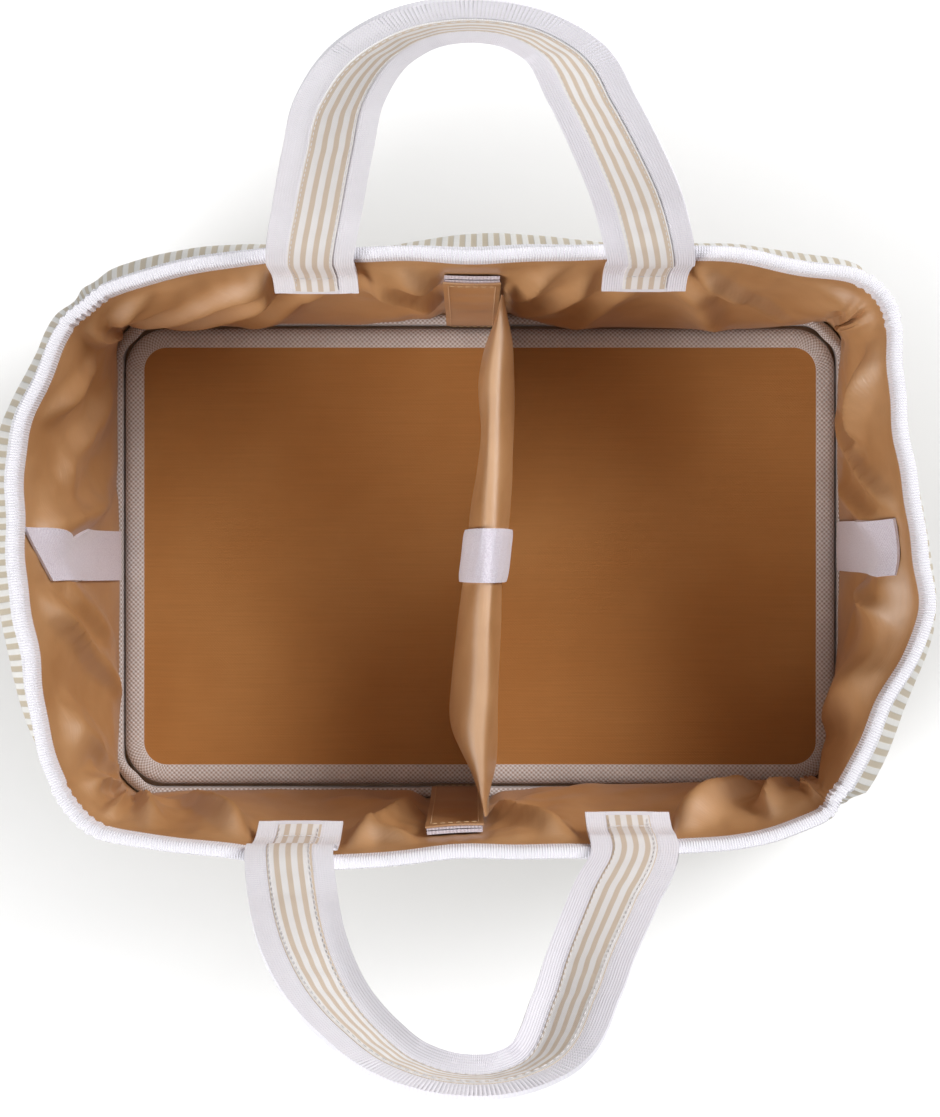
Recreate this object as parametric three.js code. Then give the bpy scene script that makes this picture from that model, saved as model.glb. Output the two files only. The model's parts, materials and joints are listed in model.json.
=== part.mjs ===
// Soft diaper caddy: a lined fabric bag with a loose base insert, a padded divider and two webbing handles.
// Millimetres, +Z up. The origin is the middle of the base's underside.
// +X runs along the bag's length and +Y points to the back handle.
import * as THREE from "three";

// Bag
const BASE_LENGTH = 390;
const BASE_WIDTH = 260;
const BASE_CORNER_RADIUS = 28;
const WALL_HEIGHT = 176;

// Cloth layers, from the outside in
const OUTER_CLOTH = 0.8;
const WALL_FOAM = 2.2;
const LINING_CLOTH = 0.6;
const BASE_CLOTH = 1.2;
const LAYER_GAP = 0.3;

// Rim and base seam tapes
const BINDING_TAPE = 0.8;
const RIM_BINDING_DROP = 11;
const SEAM_BINDING_THICKNESS = 2.2;
const SEAM_BINDING_HEIGHT = 8;

// Hook-and-loop tape
const TAPE_WIDTH = 25;
const TAPE_THICKNESS = 1.6;
const END_STRIP_TOP = 146;
const END_STRIP_FOOT = 14;

// Handles
const WEBBING_WIDTH = 38;
const WEBBING_THICKNESS = 2;
const RIBBON_WIDTH = 19;
const RIBBON_THICKNESS = 0.7;
const ANCHOR_THICKNESS = 2.4;
const ANCHOR_DROP = 34;
const HANDLE_LEG_SPACING = 148;
const HANDLE_RISE = 151;
const HANDLE_LEAN_DEG = 27;
const HANDLE_APEX_ROLL_DEG = 18;
const BACK_HANDLE_X = 0;
const FRONT_HANDLE_X = -10;

// Base insert
const INSERT_END_CLEARANCE = 4.3;
const INSERT_SIDE_CLEARANCE = 5.3;
const INSERT_CORNER_RADIUS = 17;
const INSERT_BOARD = 2.5;
const INSERT_PAD = 2;
const INSERT_CLOTH = 0.6;
const INSERT_BINDING_TAPE = 0.9;
const INSERT_BINDING_REACH = 10;

// Divider
const DIVIDER_HEIGHT = 126;
const DIVIDER_CROWN = 16;
const DIVIDER_END_THICKNESS = 4;
const DIVIDER_CLOTH = 0.7;
const DIVIDER_BACK_X = 11;
const DIVIDER_FRONT_X = 3.5;
const FLAP_WIDTH = 26;
const FLAP_CLOTH = 1.2;
const FLAP_TOP = 138;
const FLAP_FOOT = 16;
const STRAP_THICKNESS = 1.4;

// How far the soft rim stands out from the base outline, at places round the bag, as shares of RIM_FLARE_REACH.
// A place counts 0 to 8: right wall 0-1, back right corner 1-2, back wall 2-3, back left corner 3-4,
// left wall 4-5, front left corner 5-6, front wall 6-7, front right corner 7-8.
const RIM_FLARE_REACH = 10;
const RIM_FLARE = [
  [0.0, -0.3],
  [0.35, 0.25],
  [0.75, -0.2],
  [1.5, -0.3],
  [2.2, 0.4],
  [2.5, 0.3],
  [2.8, 0.35],
  [3.5, -0.3],
  [4.3, 1],
  [4.6, 0.9],
  [5.5, -0.3],
  [6.25, 0.5],
  [6.5, 0.2],
  [6.75, 0.1],
  [7.5, -0.3],
];

// How far the wall swells out below the rim, at the same kind of places, as shares of WALL_BELLY_REACH.
const WALL_BELLY_REACH = 8;
const WALL_BELLY = [
  [0.1, 0.6],
  [0.5, 0.25],
  [1.5, 0.15],
  [2.15, 0.5],
  [2.35, 0],
  [2.65, 0],
  [2.85, 0.6],
  [3.5, 0.4],
  [4.5, 1],
  [5.5, 0.15],
  [6.15, 0.25],
  [6.35, 0],
  [6.65, 0],
  [6.85, 0.25],
  [7.5, 0.6],
];

// How far the slack lining hangs in from the wall, at the same kind of places, as shares of LINING_SAG_REACH.
// It lies flat at the corner seams and under the tapes of the divider's tabs.
const LINING_SAG_REACH = 12;
const LINING_SAG = [
  [0, 0.35],
  [0.25, 0.6],
  [0.5, 0.45],
  [0.75, 0.45],
  [1.5, 0],
  [2, 0.35],
  [2.25, 0.75],
  [2.41, 0],
  [2.59, 0],
  [2.75, 0.75],
  [3, 0.4],
  [3.5, 0],
  [4, 0.5],
  [4.25, 1],
  [4.5, 0.8],
  [4.75, 1],
  [5, 0.45],
  [5.5, 0],
  [6, 0.5],
  [6.2, 0.7],
  [6.41, 0],
  [6.59, 0],
  [6.8, 0.7],
  [7, 0.3],
  [7.5, 0],
];
const LOW_SAG_SHARE = 0.8;
const END_WALL_HIGH_SAG_SHARE = 0.8;

// Derived sizes of the wall
const LINING_DEPTH = OUTER_CLOTH + WALL_FOAM + 2 * LAYER_GAP;
const WALL_DEPTH = LINING_DEPTH + LINING_CLOTH;
const WALL_FOOT = BASE_CLOTH + LAYER_GAP;
const INSIDE_FLOOR = BASE_CLOTH + LAYER_GAP + LINING_CLOTH;
const RIM_TOP = WALL_HEIGHT + LAYER_GAP + BINDING_TAPE;
const RIM_INNER_DEPTH = WALL_DEPTH + LAYER_GAP + BINDING_TAPE;
const ANCHOR_DEPTH = RIM_INNER_DEPTH + LAYER_GAP;
const HINGE_DEPTH = ANCHOR_DEPTH + ANCHOR_THICKNESS / 2;
const HINGE_HEIGHT = RIM_TOP + LAYER_GAP + WEBBING_THICKNESS / 2;
const HALF_LENGTH = BASE_LENGTH / 2;
const HALF_WIDTH = BASE_WIDTH / 2;
const CORNER_X = HALF_LENGTH - BASE_CORNER_RADIUS;
const CORNER_Y = HALF_WIDTH - BASE_CORNER_RADIUS;

// The wall is faceted on one lattice, so that every layer and every sewn piece follows the same facets.
const LONG_WALL_FACETS = 12;
const END_WALL_FACETS = 8;
const CORNER_FACETS = 4;
const BELLY_LEVEL = 0.78;
const LOW_LEVEL = 0.3 * WALL_HEIGHT;
const MIDDLE_LEVEL = 0.55 * WALL_HEIGHT;
const HIGH_LEVEL = BELLY_LEVEL * WALL_HEIGHT;
const BINDING_LEVEL = WALL_HEIGHT - RIM_BINDING_DROP;
const WALL_LEVELS = [0, LOW_LEVEL, MIDDLE_LEVEL, HIGH_LEVEL, BINDING_LEVEL, WALL_HEIGHT];
const LINING_LEVELS = [0, END_STRIP_FOOT, ...WALL_LEVELS.slice(1)];
const WALL_PLACES = [];
for (let part = 0; part < 8; part += 1) {
  const wallFacets = part % 4 === 0 ? END_WALL_FACETS : LONG_WALL_FACETS;
  const facets = part % 2 === 1 ? CORNER_FACETS : wallFacets;
  for (let step = 0; step < facets; step += 1) {
    WALL_PLACES.push(part + step / facets);
  }
}

const smooth = (v) => v * v * (3 - 2 * v);
const clamp = (v) => Math.min(1, Math.max(0, v));

// Value of a station table at a place, eased between its neighbouring stations.
function stationValue(stations, place) {
  const last = stations[stations.length - 1];
  let before = [last[0] - 8, last[1]];
  for (const station of [...stations, [stations[0][0] + 8, stations[0][1]]]) {
    if (place <= station[0]) {
      const share = (place - before[0]) / (station[0] - before[0]);
      return before[1] + (station[1] - before[1]) * smooth(share);
    }
    before = station;
  }
  return before[1];
}

// How much of the belly shows at a share of the wall's height: none at foot and rim, all at BELLY_LEVEL.
function bellyShare(v) {
  return v < BELLY_LEVEL ? smooth(v / BELLY_LEVEL) : smooth((1 - v) / (1 - BELLY_LEVEL));
}

function latticeSway(place, level) {
  const v = level / WALL_HEIGHT;
  const flare = RIM_FLARE_REACH * stationValue(RIM_FLARE, place);
  const belly = WALL_BELLY_REACH * stationValue(WALL_BELLY, place);
  return flare * smooth(v) + belly * bellyShare(v);
}

// Neighbouring lattice values of a number, with its share of the way between them.
function bracket(values, value) {
  let index = 0;
  while (index < values.length - 2 && value > values[index + 1]) {
    index += 1;
  }
  const share = (value - values[index]) / (values[index + 1] - values[index]);
  return { low: values[index], high: values[index + 1], share };
}

// How far the lining hangs in at a lattice point: all of it half way up, less below, and high up only
// on the end walls, where no handle is sewn.
function latticeSag(place, level) {
  const onEndWall = Math.round(place / 2) % 2 === 0;
  const shares = new Map([
    [LOW_LEVEL, LOW_SAG_SHARE],
    [MIDDLE_LEVEL, 1],
    [HIGH_LEVEL, onEndWall ? END_WALL_HIGH_SAG_SHARE : 0],
  ]);
  return LINING_SAG_REACH * stationValue(LINING_SAG, place) * (shares.get(level) ?? 0);
}

// Value at a place and a height, straight between the lattice points that a function gives.
function onLattice(latticeValue, levels, place, height) {
  const around = bracket([...WALL_PLACES, 8], place);
  const up = bracket(levels, Math.min(WALL_HEIGHT, Math.max(0, height)));
  const atLevel = (level) => THREE.MathUtils.lerp(
    latticeValue(around.low, level),
    latticeValue(around.high % 8, level),
    around.share,
  );
  return THREE.MathUtils.lerp(atLevel(up.low), atLevel(up.high), up.share);
}

// How far the wall's outer face stands out from the base outline, and how far the lining hangs in from it.
const sway = (place, height) => onLattice(latticeSway, WALL_LEVELS, place, height);
const sag = (place, height) => onLattice(latticeSag, LINING_LEVELS, place, height);

// Point of the base outline at a place, with its outward direction.
function outline(place) {
  const part = Math.floor(place) % 8;
  const share = place - Math.floor(place);
  const turn = (Math.floor(part / 2) * Math.PI) / 2;
  if (part % 2 === 1) {
    const angle = turn + (share * Math.PI) / 2;
    const out = new THREE.Vector2(Math.cos(angle), Math.sin(angle));
    const centre = new THREE.Vector2(
      part === 1 || part === 7 ? CORNER_X : -CORNER_X,
      part < 4 ? CORNER_Y : -CORNER_Y,
    );
    return { at: centre.addScaledVector(out, BASE_CORNER_RADIUS), out };
  }
  const out = new THREE.Vector2(Math.round(Math.cos(turn)), Math.round(Math.sin(turn)));
  const along = new THREE.Vector2(-out.y, out.x);
  const run = part % 4 === 0 ? CORNER_Y : CORNER_X;
  const reach = part % 4 === 0 ? HALF_LENGTH : HALF_WIDTH;
  const at = out.clone().multiplyScalar(reach).addScaledVector(along, run * (2 * share - 1));
  return { at, out };
}

// Point of the wall at a place and a height, a depth in from the outer face.
function wallPoint(place, height, depth) {
  const { at, out } = outline(place);
  const spot = at.addScaledVector(out, sway(place, height) - depth);
  return new THREE.Vector3(spot.x, spot.y, height);
}

const backPlace = (x) => 2.5 - x / (2 * CORNER_X);
const frontPlace = (x) => 6.5 + x / (2 * CORNER_X);

// Closed geometry from vertices and triangles, turned so that its faces point outwards.
function closedGeometry(vertices, triangles) {
  let volume = 0;
  for (const [a, b, c] of triangles) {
    volume += vertices[a].dot(vertices[b].clone().cross(vertices[c]));
  }
  const index = triangles.flatMap(([a, b, c]) => (volume < 0 ? [a, c, b] : [a, b, c]));
  const geometry = new THREE.BufferGeometry().setFromPoints(vertices);
  geometry.setIndex(index);
  geometry.computeVertexNormals();
  return geometry;
}

// Sheet solid: a grid of points on its outer face, the same grid on its inner face, and closed edges.
// point(u, v, face) gives a vertex; face is 0 outside and 1 inside.
function sheetSolid(us, vs, point) {
  const vertices = [];
  const triangles = [];
  const rows = vs.length;
  const faceCount = us.length * rows;
  for (const face of [0, 1]) {
    us.forEach((u) => vs.forEach((v) => vertices.push(point(u, v, face))));
  }
  const quad = (a, b, c, d) => triangles.push([a, b, c], [a, c, d]);
  const at = (i, j) => i * rows + j;
  for (let i = 0; i < us.length - 1; i += 1) {
    for (let j = 0; j < rows - 1; j += 1) {
      const corners = [at(i, j), at(i + 1, j), at(i + 1, j + 1), at(i, j + 1)];
      quad(...corners);
      // The inner face splits its quads on the same diagonal, so that the sheet keeps its thickness.
      const [a, b, c, d] = corners.map((k) => k + faceCount);
      triangles.push([a, c, b], [a, d, c]);
    }
  }
  const edge = [];
  for (let i = 0; i < us.length - 1; i += 1) edge.push(at(i, 0));
  for (let j = 0; j < rows - 1; j += 1) edge.push(at(us.length - 1, j));
  for (let i = us.length - 1; i > 0; i -= 1) edge.push(at(i, rows - 1));
  for (let j = rows - 1; j > 0; j -= 1) edge.push(at(0, j));
  edge.forEach((a, k) => {
    const b = edge[(k + 1) % edge.length];
    quad(b, a, a + faceCount, b + faceCount);
  });
  return closedGeometry(vertices, triangles);
}

// Ring solid: a closed profile carried round a closed run of places.
function ringSolid(places, corners, point) {
  const vertices = places.flatMap((place) => corners.map((corner) => point(place, corner)));
  const triangles = [];
  const count = corners.length;
  places.forEach((_, i) => {
    const next = (i + 1) % places.length;
    corners.forEach((__, j) => {
      const after = (j + 1) % count;
      const a = i * count + j;
      const b = next * count + j;
      const c = next * count + after;
      const d = i * count + after;
      triangles.push([a, b, c], [a, c, d]);
    });
  });
  return closedGeometry(vertices, triangles);
}

// Values between two ends, with the lattice values that lie inside them.
function spread(from, to, lattice) {
  const hair = 1e-6 * (to - from);
  return [from, ...lattice.filter((value) => value > from + hair && value < to - hair), to];
}

// Sheet on the wall between two places and two heights, with its outer and inner face at two depths.
// A slack sheet hangs in from the wall as the lining does.
function wallSheet(fromPlace, toPlace, foot, top, outerDepth, innerDepth, slack = false) {
  const lattice = [...WALL_PLACES, ...WALL_PLACES.map((place) => place + 8)];
  return sheetSolid(
    spread(fromPlace, toPlace, lattice),
    spread(foot, top, slack ? LINING_LEVELS : WALL_LEVELS),
    (place, height, face) => {
      const depth = face === 0 ? outerDepth : innerDepth;
      return wallPoint(place % 8, height, depth + (slack ? sag(place % 8, height) : 0));
    },
  );
}

// Flat plate with rounded corners of so many facets, between two heights.
function roundedPlate(length, width, radius, facets, foot, top) {
  const x = length / 2 - radius;
  const y = width / 2 - radius;
  const shape = new THREE.Shape();
  shape.absarc(x, y, radius, 0, Math.PI / 2);
  shape.absarc(-x, y, radius, Math.PI / 2, Math.PI);
  shape.absarc(-x, -y, radius, Math.PI, 1.5 * Math.PI);
  shape.absarc(x, -y, radius, 1.5 * Math.PI, 2 * Math.PI);
  // An arc of a shape is cut into twice its curve segments.
  const options = { depth: top - foot, bevelEnabled: false, curveSegments: facets / 2 };
  return new THREE.ExtrudeGeometry(shape, options).translate(0, 0, foot);
}

const caddy = new THREE.Group();
caddy.name = "diaper_caddy";

function piece(name, geometry, look) {
  const mesh = new THREE.Mesh(geometry, new THREE.MeshStandardMaterial(look));
  mesh.name = name;
  caddy.add(mesh);
  return mesh;
}

const STRIPED_CLOTH = { color: 0xd9cfc4, roughness: 0.9, metalness: 0 };
const FOAM_SHEET = { color: 0xefece4, roughness: 0.95, metalness: 0 };
const SATIN = { color: 0xb5875a, roughness: 0.4, metalness: 0 };
const WHITE_WEBBING = { color: 0xebeaf0, roughness: 0.8, metalness: 0 };
const HOOK_AND_LOOP = { color: 0xe6e1ea, roughness: 0.95, metalness: 0 };
const INSERT_CLOTH_LOOK = { color: 0x96653a, roughness: 0.85, metalness: 0 };
const INSERT_TAPE_LOOK = { color: 0xb7a79e, roughness: 0.85, metalness: 0 };
const CHIPBOARD = { color: 0x9a9288, roughness: 0.9, metalness: 0 };
const RIBBON_LOOK = { color: 0xd8c4ae, roughness: 0.85, metalness: 0 };

// Bag walls: outer cloth, foam and lining of each wall, meeting in the middle of the corners
const CORNER_ARC = (BASE_CORNER_RADIUS * Math.PI) / 2;
const SEAM_SHARE = LAYER_GAP / 2 / CORNER_ARC;
const WALLS = { right: 7.5, back: 1.5, left: 3.5, front: 5.5 };
for (const [wall, start] of Object.entries(WALLS)) {
  const from = start + SEAM_SHARE;
  const to = start + 2 - SEAM_SHARE;
  const layer = (outerDepth, thickness, slack) =>
    wallSheet(from, to, WALL_FOOT, WALL_HEIGHT, outerDepth, outerDepth + thickness, slack);
  piece(`outer_${wall}_panel`, layer(0, OUTER_CLOTH), STRIPED_CLOTH);
  piece(`foam_${wall}`, layer(OUTER_CLOTH + LAYER_GAP, WALL_FOAM), FOAM_SHEET);
  piece(`lining_${wall}`, layer(LINING_DEPTH, LINING_CLOTH, true), SATIN);
}

// Bag base
piece(
  "outer_base_panel",
  roundedPlate(BASE_LENGTH, BASE_WIDTH, BASE_CORNER_RADIUS, CORNER_FACETS, 0, BASE_CLOTH),
  STRIPED_CLOTH,
);
const floorInset = WALL_DEPTH + LAYER_GAP;
piece(
  "lining_base",
  roundedPlate(
    BASE_LENGTH - 2 * floorInset,
    BASE_WIDTH - 2 * floorInset,
    BASE_CORNER_RADIUS - floorInset,
    CORNER_FACETS,
    BASE_CLOTH + LAYER_GAP,
    INSIDE_FLOOR,
  ),
  SATIN,
);

// Tape folded over the rim, and tape that binds the seam between walls and base
const outerLeg = -LAYER_GAP - BINDING_TAPE;
const rimProfile = [
  [outerLeg, BINDING_LEVEL],
  [outerLeg, RIM_TOP],
  [RIM_INNER_DEPTH, RIM_TOP],
  [RIM_INNER_DEPTH, BINDING_LEVEL],
  [WALL_DEPTH + LAYER_GAP, BINDING_LEVEL],
  [WALL_DEPTH + LAYER_GAP, WALL_HEIGHT + LAYER_GAP],
  [-LAYER_GAP, WALL_HEIGHT + LAYER_GAP],
  [-LAYER_GAP, BINDING_LEVEL],
];
const seamOuter = WALL_DEPTH + LAYER_GAP;
const seamInner = seamOuter + SEAM_BINDING_THICKNESS;
const seamFoot = INSIDE_FLOOR + LAYER_GAP;
const seamTop = seamFoot + SEAM_BINDING_HEIGHT;
const seamProfile = [
  [seamOuter, seamFoot],
  [seamOuter, seamTop],
  [seamInner, seamTop],
  [seamInner, seamFoot],
];
const tapePoint = (place, [depth, height]) => wallPoint(place, height, depth);
piece("rim_binding", ringSolid(WALL_PLACES, rimProfile, tapePoint), WHITE_WEBBING);
piece("base_seam_binding", ringSolid(WALL_PLACES, seamProfile, tapePoint), INSERT_TAPE_LOOK);

// Loop strips on the two end walls
const stripOuter = WALL_DEPTH + LAYER_GAP;
const stripInner = stripOuter + TAPE_THICKNESS;
const endHalfShare = TAPE_WIDTH / 2 / (2 * CORNER_Y);
for (const [wall, middle] of [["right", 0.5], ["left", 4.5]]) {
  piece(
    `loop_strip_${wall}`,
    wallSheet(
      middle - endHalfShare,
      middle + endHalfShare,
      END_STRIP_FOOT,
      END_STRIP_TOP,
      stripOuter,
      stripInner,
      true,
    ),
    HOOK_AND_LOOP,
  );
}

// Handles: each end is sewn inside the wall, and the loop bends over the rim
// The arch of a loop runs from one leg to the other, as shares of half the leg spacing and of the rise.
const HANDLE_ARCH = [
  [-1, 0],
  [-0.89, 0.3],
  [-0.78, 0.51],
  [-0.65, 0.71],
  [-0.46, 0.89],
  [-0.23, 0.98],
  [0, 1],
  [0.23, 0.98],
  [0.46, 0.89],
  [0.65, 0.71],
  [0.78, 0.51],
  [0.89, 0.3],
  [1, 0],
];
const ARCH_STEPS = 32;
const STRAIGHT_FOOT = 30;

// Centre, tangent and flat width direction of a loop at a share of its length, in the loop's own plane.
const archCurve = new THREE.CatmullRomCurve3(
  HANDLE_ARCH.map(([x, rise]) => new THREE.Vector3((x * HANDLE_LEG_SPACING) / 2, rise * HANDLE_RISE, 0)),
);
function archFrame(share) {
  const centre = archCurve.getPointAt(share);
  const tangent = archCurve.getTangentAt(share);
  const across = new THREE.Vector3(-tangent.y, tangent.x, 0);
  // The feet of both legs lie square on the hinge line.
  const square = new THREE.Vector3(share < 0.5 ? -1 : 1, 0, 0);
  across.lerp(square, 1 - smooth(clamp(centre.y / STRAIGHT_FOOT))).normalize();
  return { centre, across, rise: clamp(centre.y / HANDLE_RISE) };
}

// Point of a loop, turned from its own plane to its lean; side is +1 for the back handle and -1 for the front.
function loopPoint(handle, share, width, lift) {
  const { centre, across, rise } = archFrame(share);
  const roll = THREE.MathUtils.degToRad(HANDLE_APEX_ROLL_DEG) * smooth(rise);
  const lean = THREE.MathUtils.degToRad(HANDLE_LEAN_DEG);
  const flat = across.clone().multiplyScalar(Math.cos(roll) * width - Math.sin(roll) * lift);
  const inPlane = centre.clone().add(flat);
  const offPlane = Math.sin(roll) * width + Math.cos(roll) * lift;
  const out = inPlane.y * Math.sin(lean) - offPlane * Math.cos(lean);
  const up = inPlane.y * Math.cos(lean) + offPlane * Math.sin(lean);
  return new THREE.Vector3(
    handle.x + inPlane.x,
    handle.side * (handle.hingeReach + out),
    HINGE_HEIGHT + up,
  );
}

function handleOf(name, side, x, placeOf) {
  const halfSpacing = HANDLE_LEG_SPACING / 2;
  const legs = { left: x - halfSpacing, right: x + halfSpacing };
  const reaches = Object.values(legs).map(
    (leg) => Math.abs(wallPoint(placeOf(leg), WALL_HEIGHT, HINGE_DEPTH).y),
  );
  return { name, side, x, placeOf, legs, hingeReach: (reaches[0] + reaches[1]) / 2 };
}

const HANDLES = [
  handleOf("back", 1, BACK_HANDLE_X, backPlace),
  handleOf("front", -1, FRONT_HANDLE_X, frontPlace),
];
const HALF_WEBBING = WEBBING_WIDTH / 2;
const HALF_THICKNESS = WEBBING_THICKNESS / 2;
const ANCHOR_TOP = HINGE_HEIGHT - HALF_THICKNESS - LAYER_GAP;
const RIBBON_START = 0.012;
const archShares = Array.from({ length: ARCH_STEPS + 1 }, (_, i) => i / ARCH_STEPS);

for (const handle of HANDLES) {
  for (const [end, x] of Object.entries(handle.legs)) {
    const places = [handle.placeOf(x - HALF_WEBBING), handle.placeOf(x + HALF_WEBBING)];
    piece(
      `handle_${handle.name}_${end}_anchor`,
      wallSheet(
        Math.min(...places),
        Math.max(...places),
        WALL_HEIGHT - ANCHOR_DROP,
        ANCHOR_TOP,
        ANCHOR_DEPTH,
        ANCHOR_DEPTH + ANCHOR_THICKNESS,
      ),
      WHITE_WEBBING,
    );
  }
  piece(
    `handle_${handle.name}_webbing`,
    sheetSolid(archShares, [-HALF_WEBBING, 0, HALF_WEBBING], (share, width, face) =>
      loopPoint(handle, share, width, face === 0 ? HALF_THICKNESS : -HALF_THICKNESS)),
    WHITE_WEBBING,
  );
  const ribbonFoot = HALF_THICKNESS + LAYER_GAP;
  const ribbonShares = spread(RIBBON_START, 1 - RIBBON_START, archShares);
  piece(
    `handle_${handle.name}_ribbon`,
    sheetSolid(ribbonShares, [-RIBBON_WIDTH / 2, 0, RIBBON_WIDTH / 2], (share, width, face) =>
      loopPoint(handle, share, width, face === 0 ? ribbonFoot + RIBBON_THICKNESS : ribbonFoot)),
    RIBBON_LOOK,
  );
}

// Base insert: under cloth, board, pad and top cloth inside a bound edge
const insertFoot = INSIDE_FLOOR + LAYER_GAP;
const underCloth = insertFoot + INSERT_BINDING_TAPE + LAYER_GAP;
const boardFoot = underCloth + INSERT_CLOTH + LAYER_GAP;
const padFoot = boardFoot + INSERT_BOARD + LAYER_GAP;
const topCloth = padFoot + INSERT_PAD + LAYER_GAP;
const insertTop = topCloth + INSERT_CLOTH + LAYER_GAP + INSERT_BINDING_TAPE;
const insertLength = BASE_LENGTH - 2 * (seamInner + INSERT_END_CLEARANCE);
const insertWidth = BASE_WIDTH - 2 * (seamInner + INSERT_SIDE_CLEARANCE);
const edgeInset = INSERT_BINDING_TAPE + LAYER_GAP;
const INSERT_CORNER_STEPS = 6;
const insertPlate = (foot, thickness) => roundedPlate(
  insertLength - 2 * edgeInset,
  insertWidth - 2 * edgeInset,
  INSERT_CORNER_RADIUS - edgeInset,
  INSERT_CORNER_STEPS,
  foot,
  foot + thickness,
);
piece("insert_under_cloth", insertPlate(underCloth, INSERT_CLOTH), INSERT_CLOTH_LOOK);
piece("insert_board", insertPlate(boardFoot, INSERT_BOARD), CHIPBOARD);
piece("insert_pad", insertPlate(padFoot, INSERT_PAD), FOAM_SHEET);
piece("insert_top_cloth", insertPlate(topCloth, INSERT_CLOTH), INSERT_CLOTH_LOOK);

const insertProfile = [
  [0, insertFoot],
  [0, insertTop],
  [INSERT_BINDING_REACH, insertTop],
  [INSERT_BINDING_REACH, insertTop - INSERT_BINDING_TAPE],
  [INSERT_BINDING_TAPE, insertTop - INSERT_BINDING_TAPE],
  [INSERT_BINDING_TAPE, insertFoot + INSERT_BINDING_TAPE],
  [INSERT_BINDING_REACH, insertFoot + INSERT_BINDING_TAPE],
  [INSERT_BINDING_REACH, insertFoot],
];
const insertDirections = Array.from({ length: 4 * (INSERT_CORNER_STEPS + 1) }, (_, i) => ({
  quarter: Math.floor(i / (INSERT_CORNER_STEPS + 1)),
  share: (i % (INSERT_CORNER_STEPS + 1)) / INSERT_CORNER_STEPS,
}));
piece(
  "insert_binding",
  ringSolid(insertDirections, insertProfile, ({ quarter, share }, [inset, height]) => {
    const angle = ((quarter + share) * Math.PI) / 2;
    const radius = INSERT_CORNER_RADIUS - inset;
    const signX = quarter === 0 || quarter === 3 ? 1 : -1;
    const signY = quarter < 2 ? 1 : -1;
    return new THREE.Vector3(
      signX * (insertLength / 2 - INSERT_CORNER_RADIUS) + radius * Math.cos(angle),
      signY * (insertWidth / 2 - INSERT_CORNER_RADIUS) + radius * Math.sin(angle),
      height,
    );
  }),
  INSERT_TAPE_LOOK,
);

// Divider tabs and the loop strips that they press on, on the two long walls
const hookOuter = stripInner + LAYER_GAP;
const flapOuter = hookOuter + TAPE_THICKNESS + LAYER_GAP;
const flapInner = flapOuter + FLAP_CLOTH;
const dividerEnd = HALF_WIDTH - flapInner - LAYER_GAP;
const TABS = [
  { name: "back", placeOf: backPlace, dividerX: DIVIDER_BACK_X },
  { name: "front", placeOf: frontPlace, dividerX: DIVIDER_FRONT_X },
];
const tapeFoot = FLAP_FOOT + (FLAP_WIDTH - TAPE_WIDTH) / 2;
const tapeTop = FLAP_TOP - (FLAP_WIDTH - TAPE_WIDTH) / 2;
for (const tab of TABS) {
  const flapRight = tab.dividerX - DIVIDER_END_THICKNESS / 2 - LAYER_GAP;
  const tapeRight = flapRight - (FLAP_WIDTH - TAPE_WIDTH) / 2;
  const sheet = (right, width, foot, top, outerDepth, innerDepth) => {
    const places = [tab.placeOf(right - width), tab.placeOf(right)];
    return wallSheet(Math.min(...places), Math.max(...places), foot, top, outerDepth, innerDepth);
  };
  piece(
    `loop_strip_${tab.name}`,
    sheet(tapeRight, TAPE_WIDTH, tapeFoot, tapeTop, stripOuter, stripInner),
    HOOK_AND_LOOP,
  );
  piece(
    `tab_${tab.name}_hook_strip`,
    sheet(tapeRight, TAPE_WIDTH, tapeFoot, tapeTop, hookOuter, hookOuter + TAPE_THICKNESS),
    HOOK_AND_LOOP,
  );
  piece(
    `tab_${tab.name}_flap`,
    sheet(flapRight, FLAP_WIDTH, FLAP_FOOT, FLAP_TOP, flapOuter, flapInner),
    SATIN,
  );
}

// Divider: a crowned foam core in a folded cover, with a loop strap over the top
const dividerFoot = insertTop + LAYER_GAP;
const COVER_STEPS_ALONG = 14;
const COVER_STEPS_ROUND = 14;
const SECTION_POWER = 0.42;
const DIVIDER_END_TAPER = 8;

// Half thickness along the divider: full in the middle, drawn in to the ends.
function dividerHalfThickness(y) {
  const share = clamp(Math.abs(y) / dividerEnd);
  const end = DIVIDER_END_THICKNESS / 2;
  return end + (DIVIDER_CROWN / 2 - end) * (1 - share ** DIVIDER_END_TAPER);
}

// Point of the divider's section: round runs 0 to 1 from the left foot over the top to the right foot.
function dividerPoint(y, round, inset) {
  const angle = round * Math.PI;
  const cosine = Math.cos(angle);
  const x = -Math.sign(cosine) * Math.abs(cosine) ** SECTION_POWER;
  const z = Math.abs(Math.sin(angle)) ** SECTION_POWER;
  return new THREE.Vector3(
    x * (dividerHalfThickness(y) - inset),
    y,
    dividerFoot + z * (DIVIDER_HEIGHT - inset),
  );
}

const dividerTurn = -Math.atan2(DIVIDER_BACK_X - DIVIDER_FRONT_X, 2 * dividerEnd);
function dividerPiece(name, geometry, look) {
  const mesh = piece(name, geometry, look);
  mesh.position.x = (DIVIDER_BACK_X + DIVIDER_FRONT_X) / 2;
  mesh.rotation.z = dividerTurn;
}

// Stations along the divider lie closer together towards its drawn-in ends.
const dividerStations = Array.from({ length: COVER_STEPS_ALONG + 1 }, (_, i) =>
  dividerEnd * Math.sin((i / COVER_STEPS_ALONG - 0.5) * Math.PI));
const rounds = Array.from({ length: COVER_STEPS_ROUND + 1 }, (_, i) => i / COVER_STEPS_ROUND);
dividerPiece(
  "divider_cover",
  sheetSolid(dividerStations, rounds, (y, round, face) =>
    dividerPoint(y, round, face === 0 ? 0 : DIVIDER_CLOTH)),
  SATIN,
);
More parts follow.
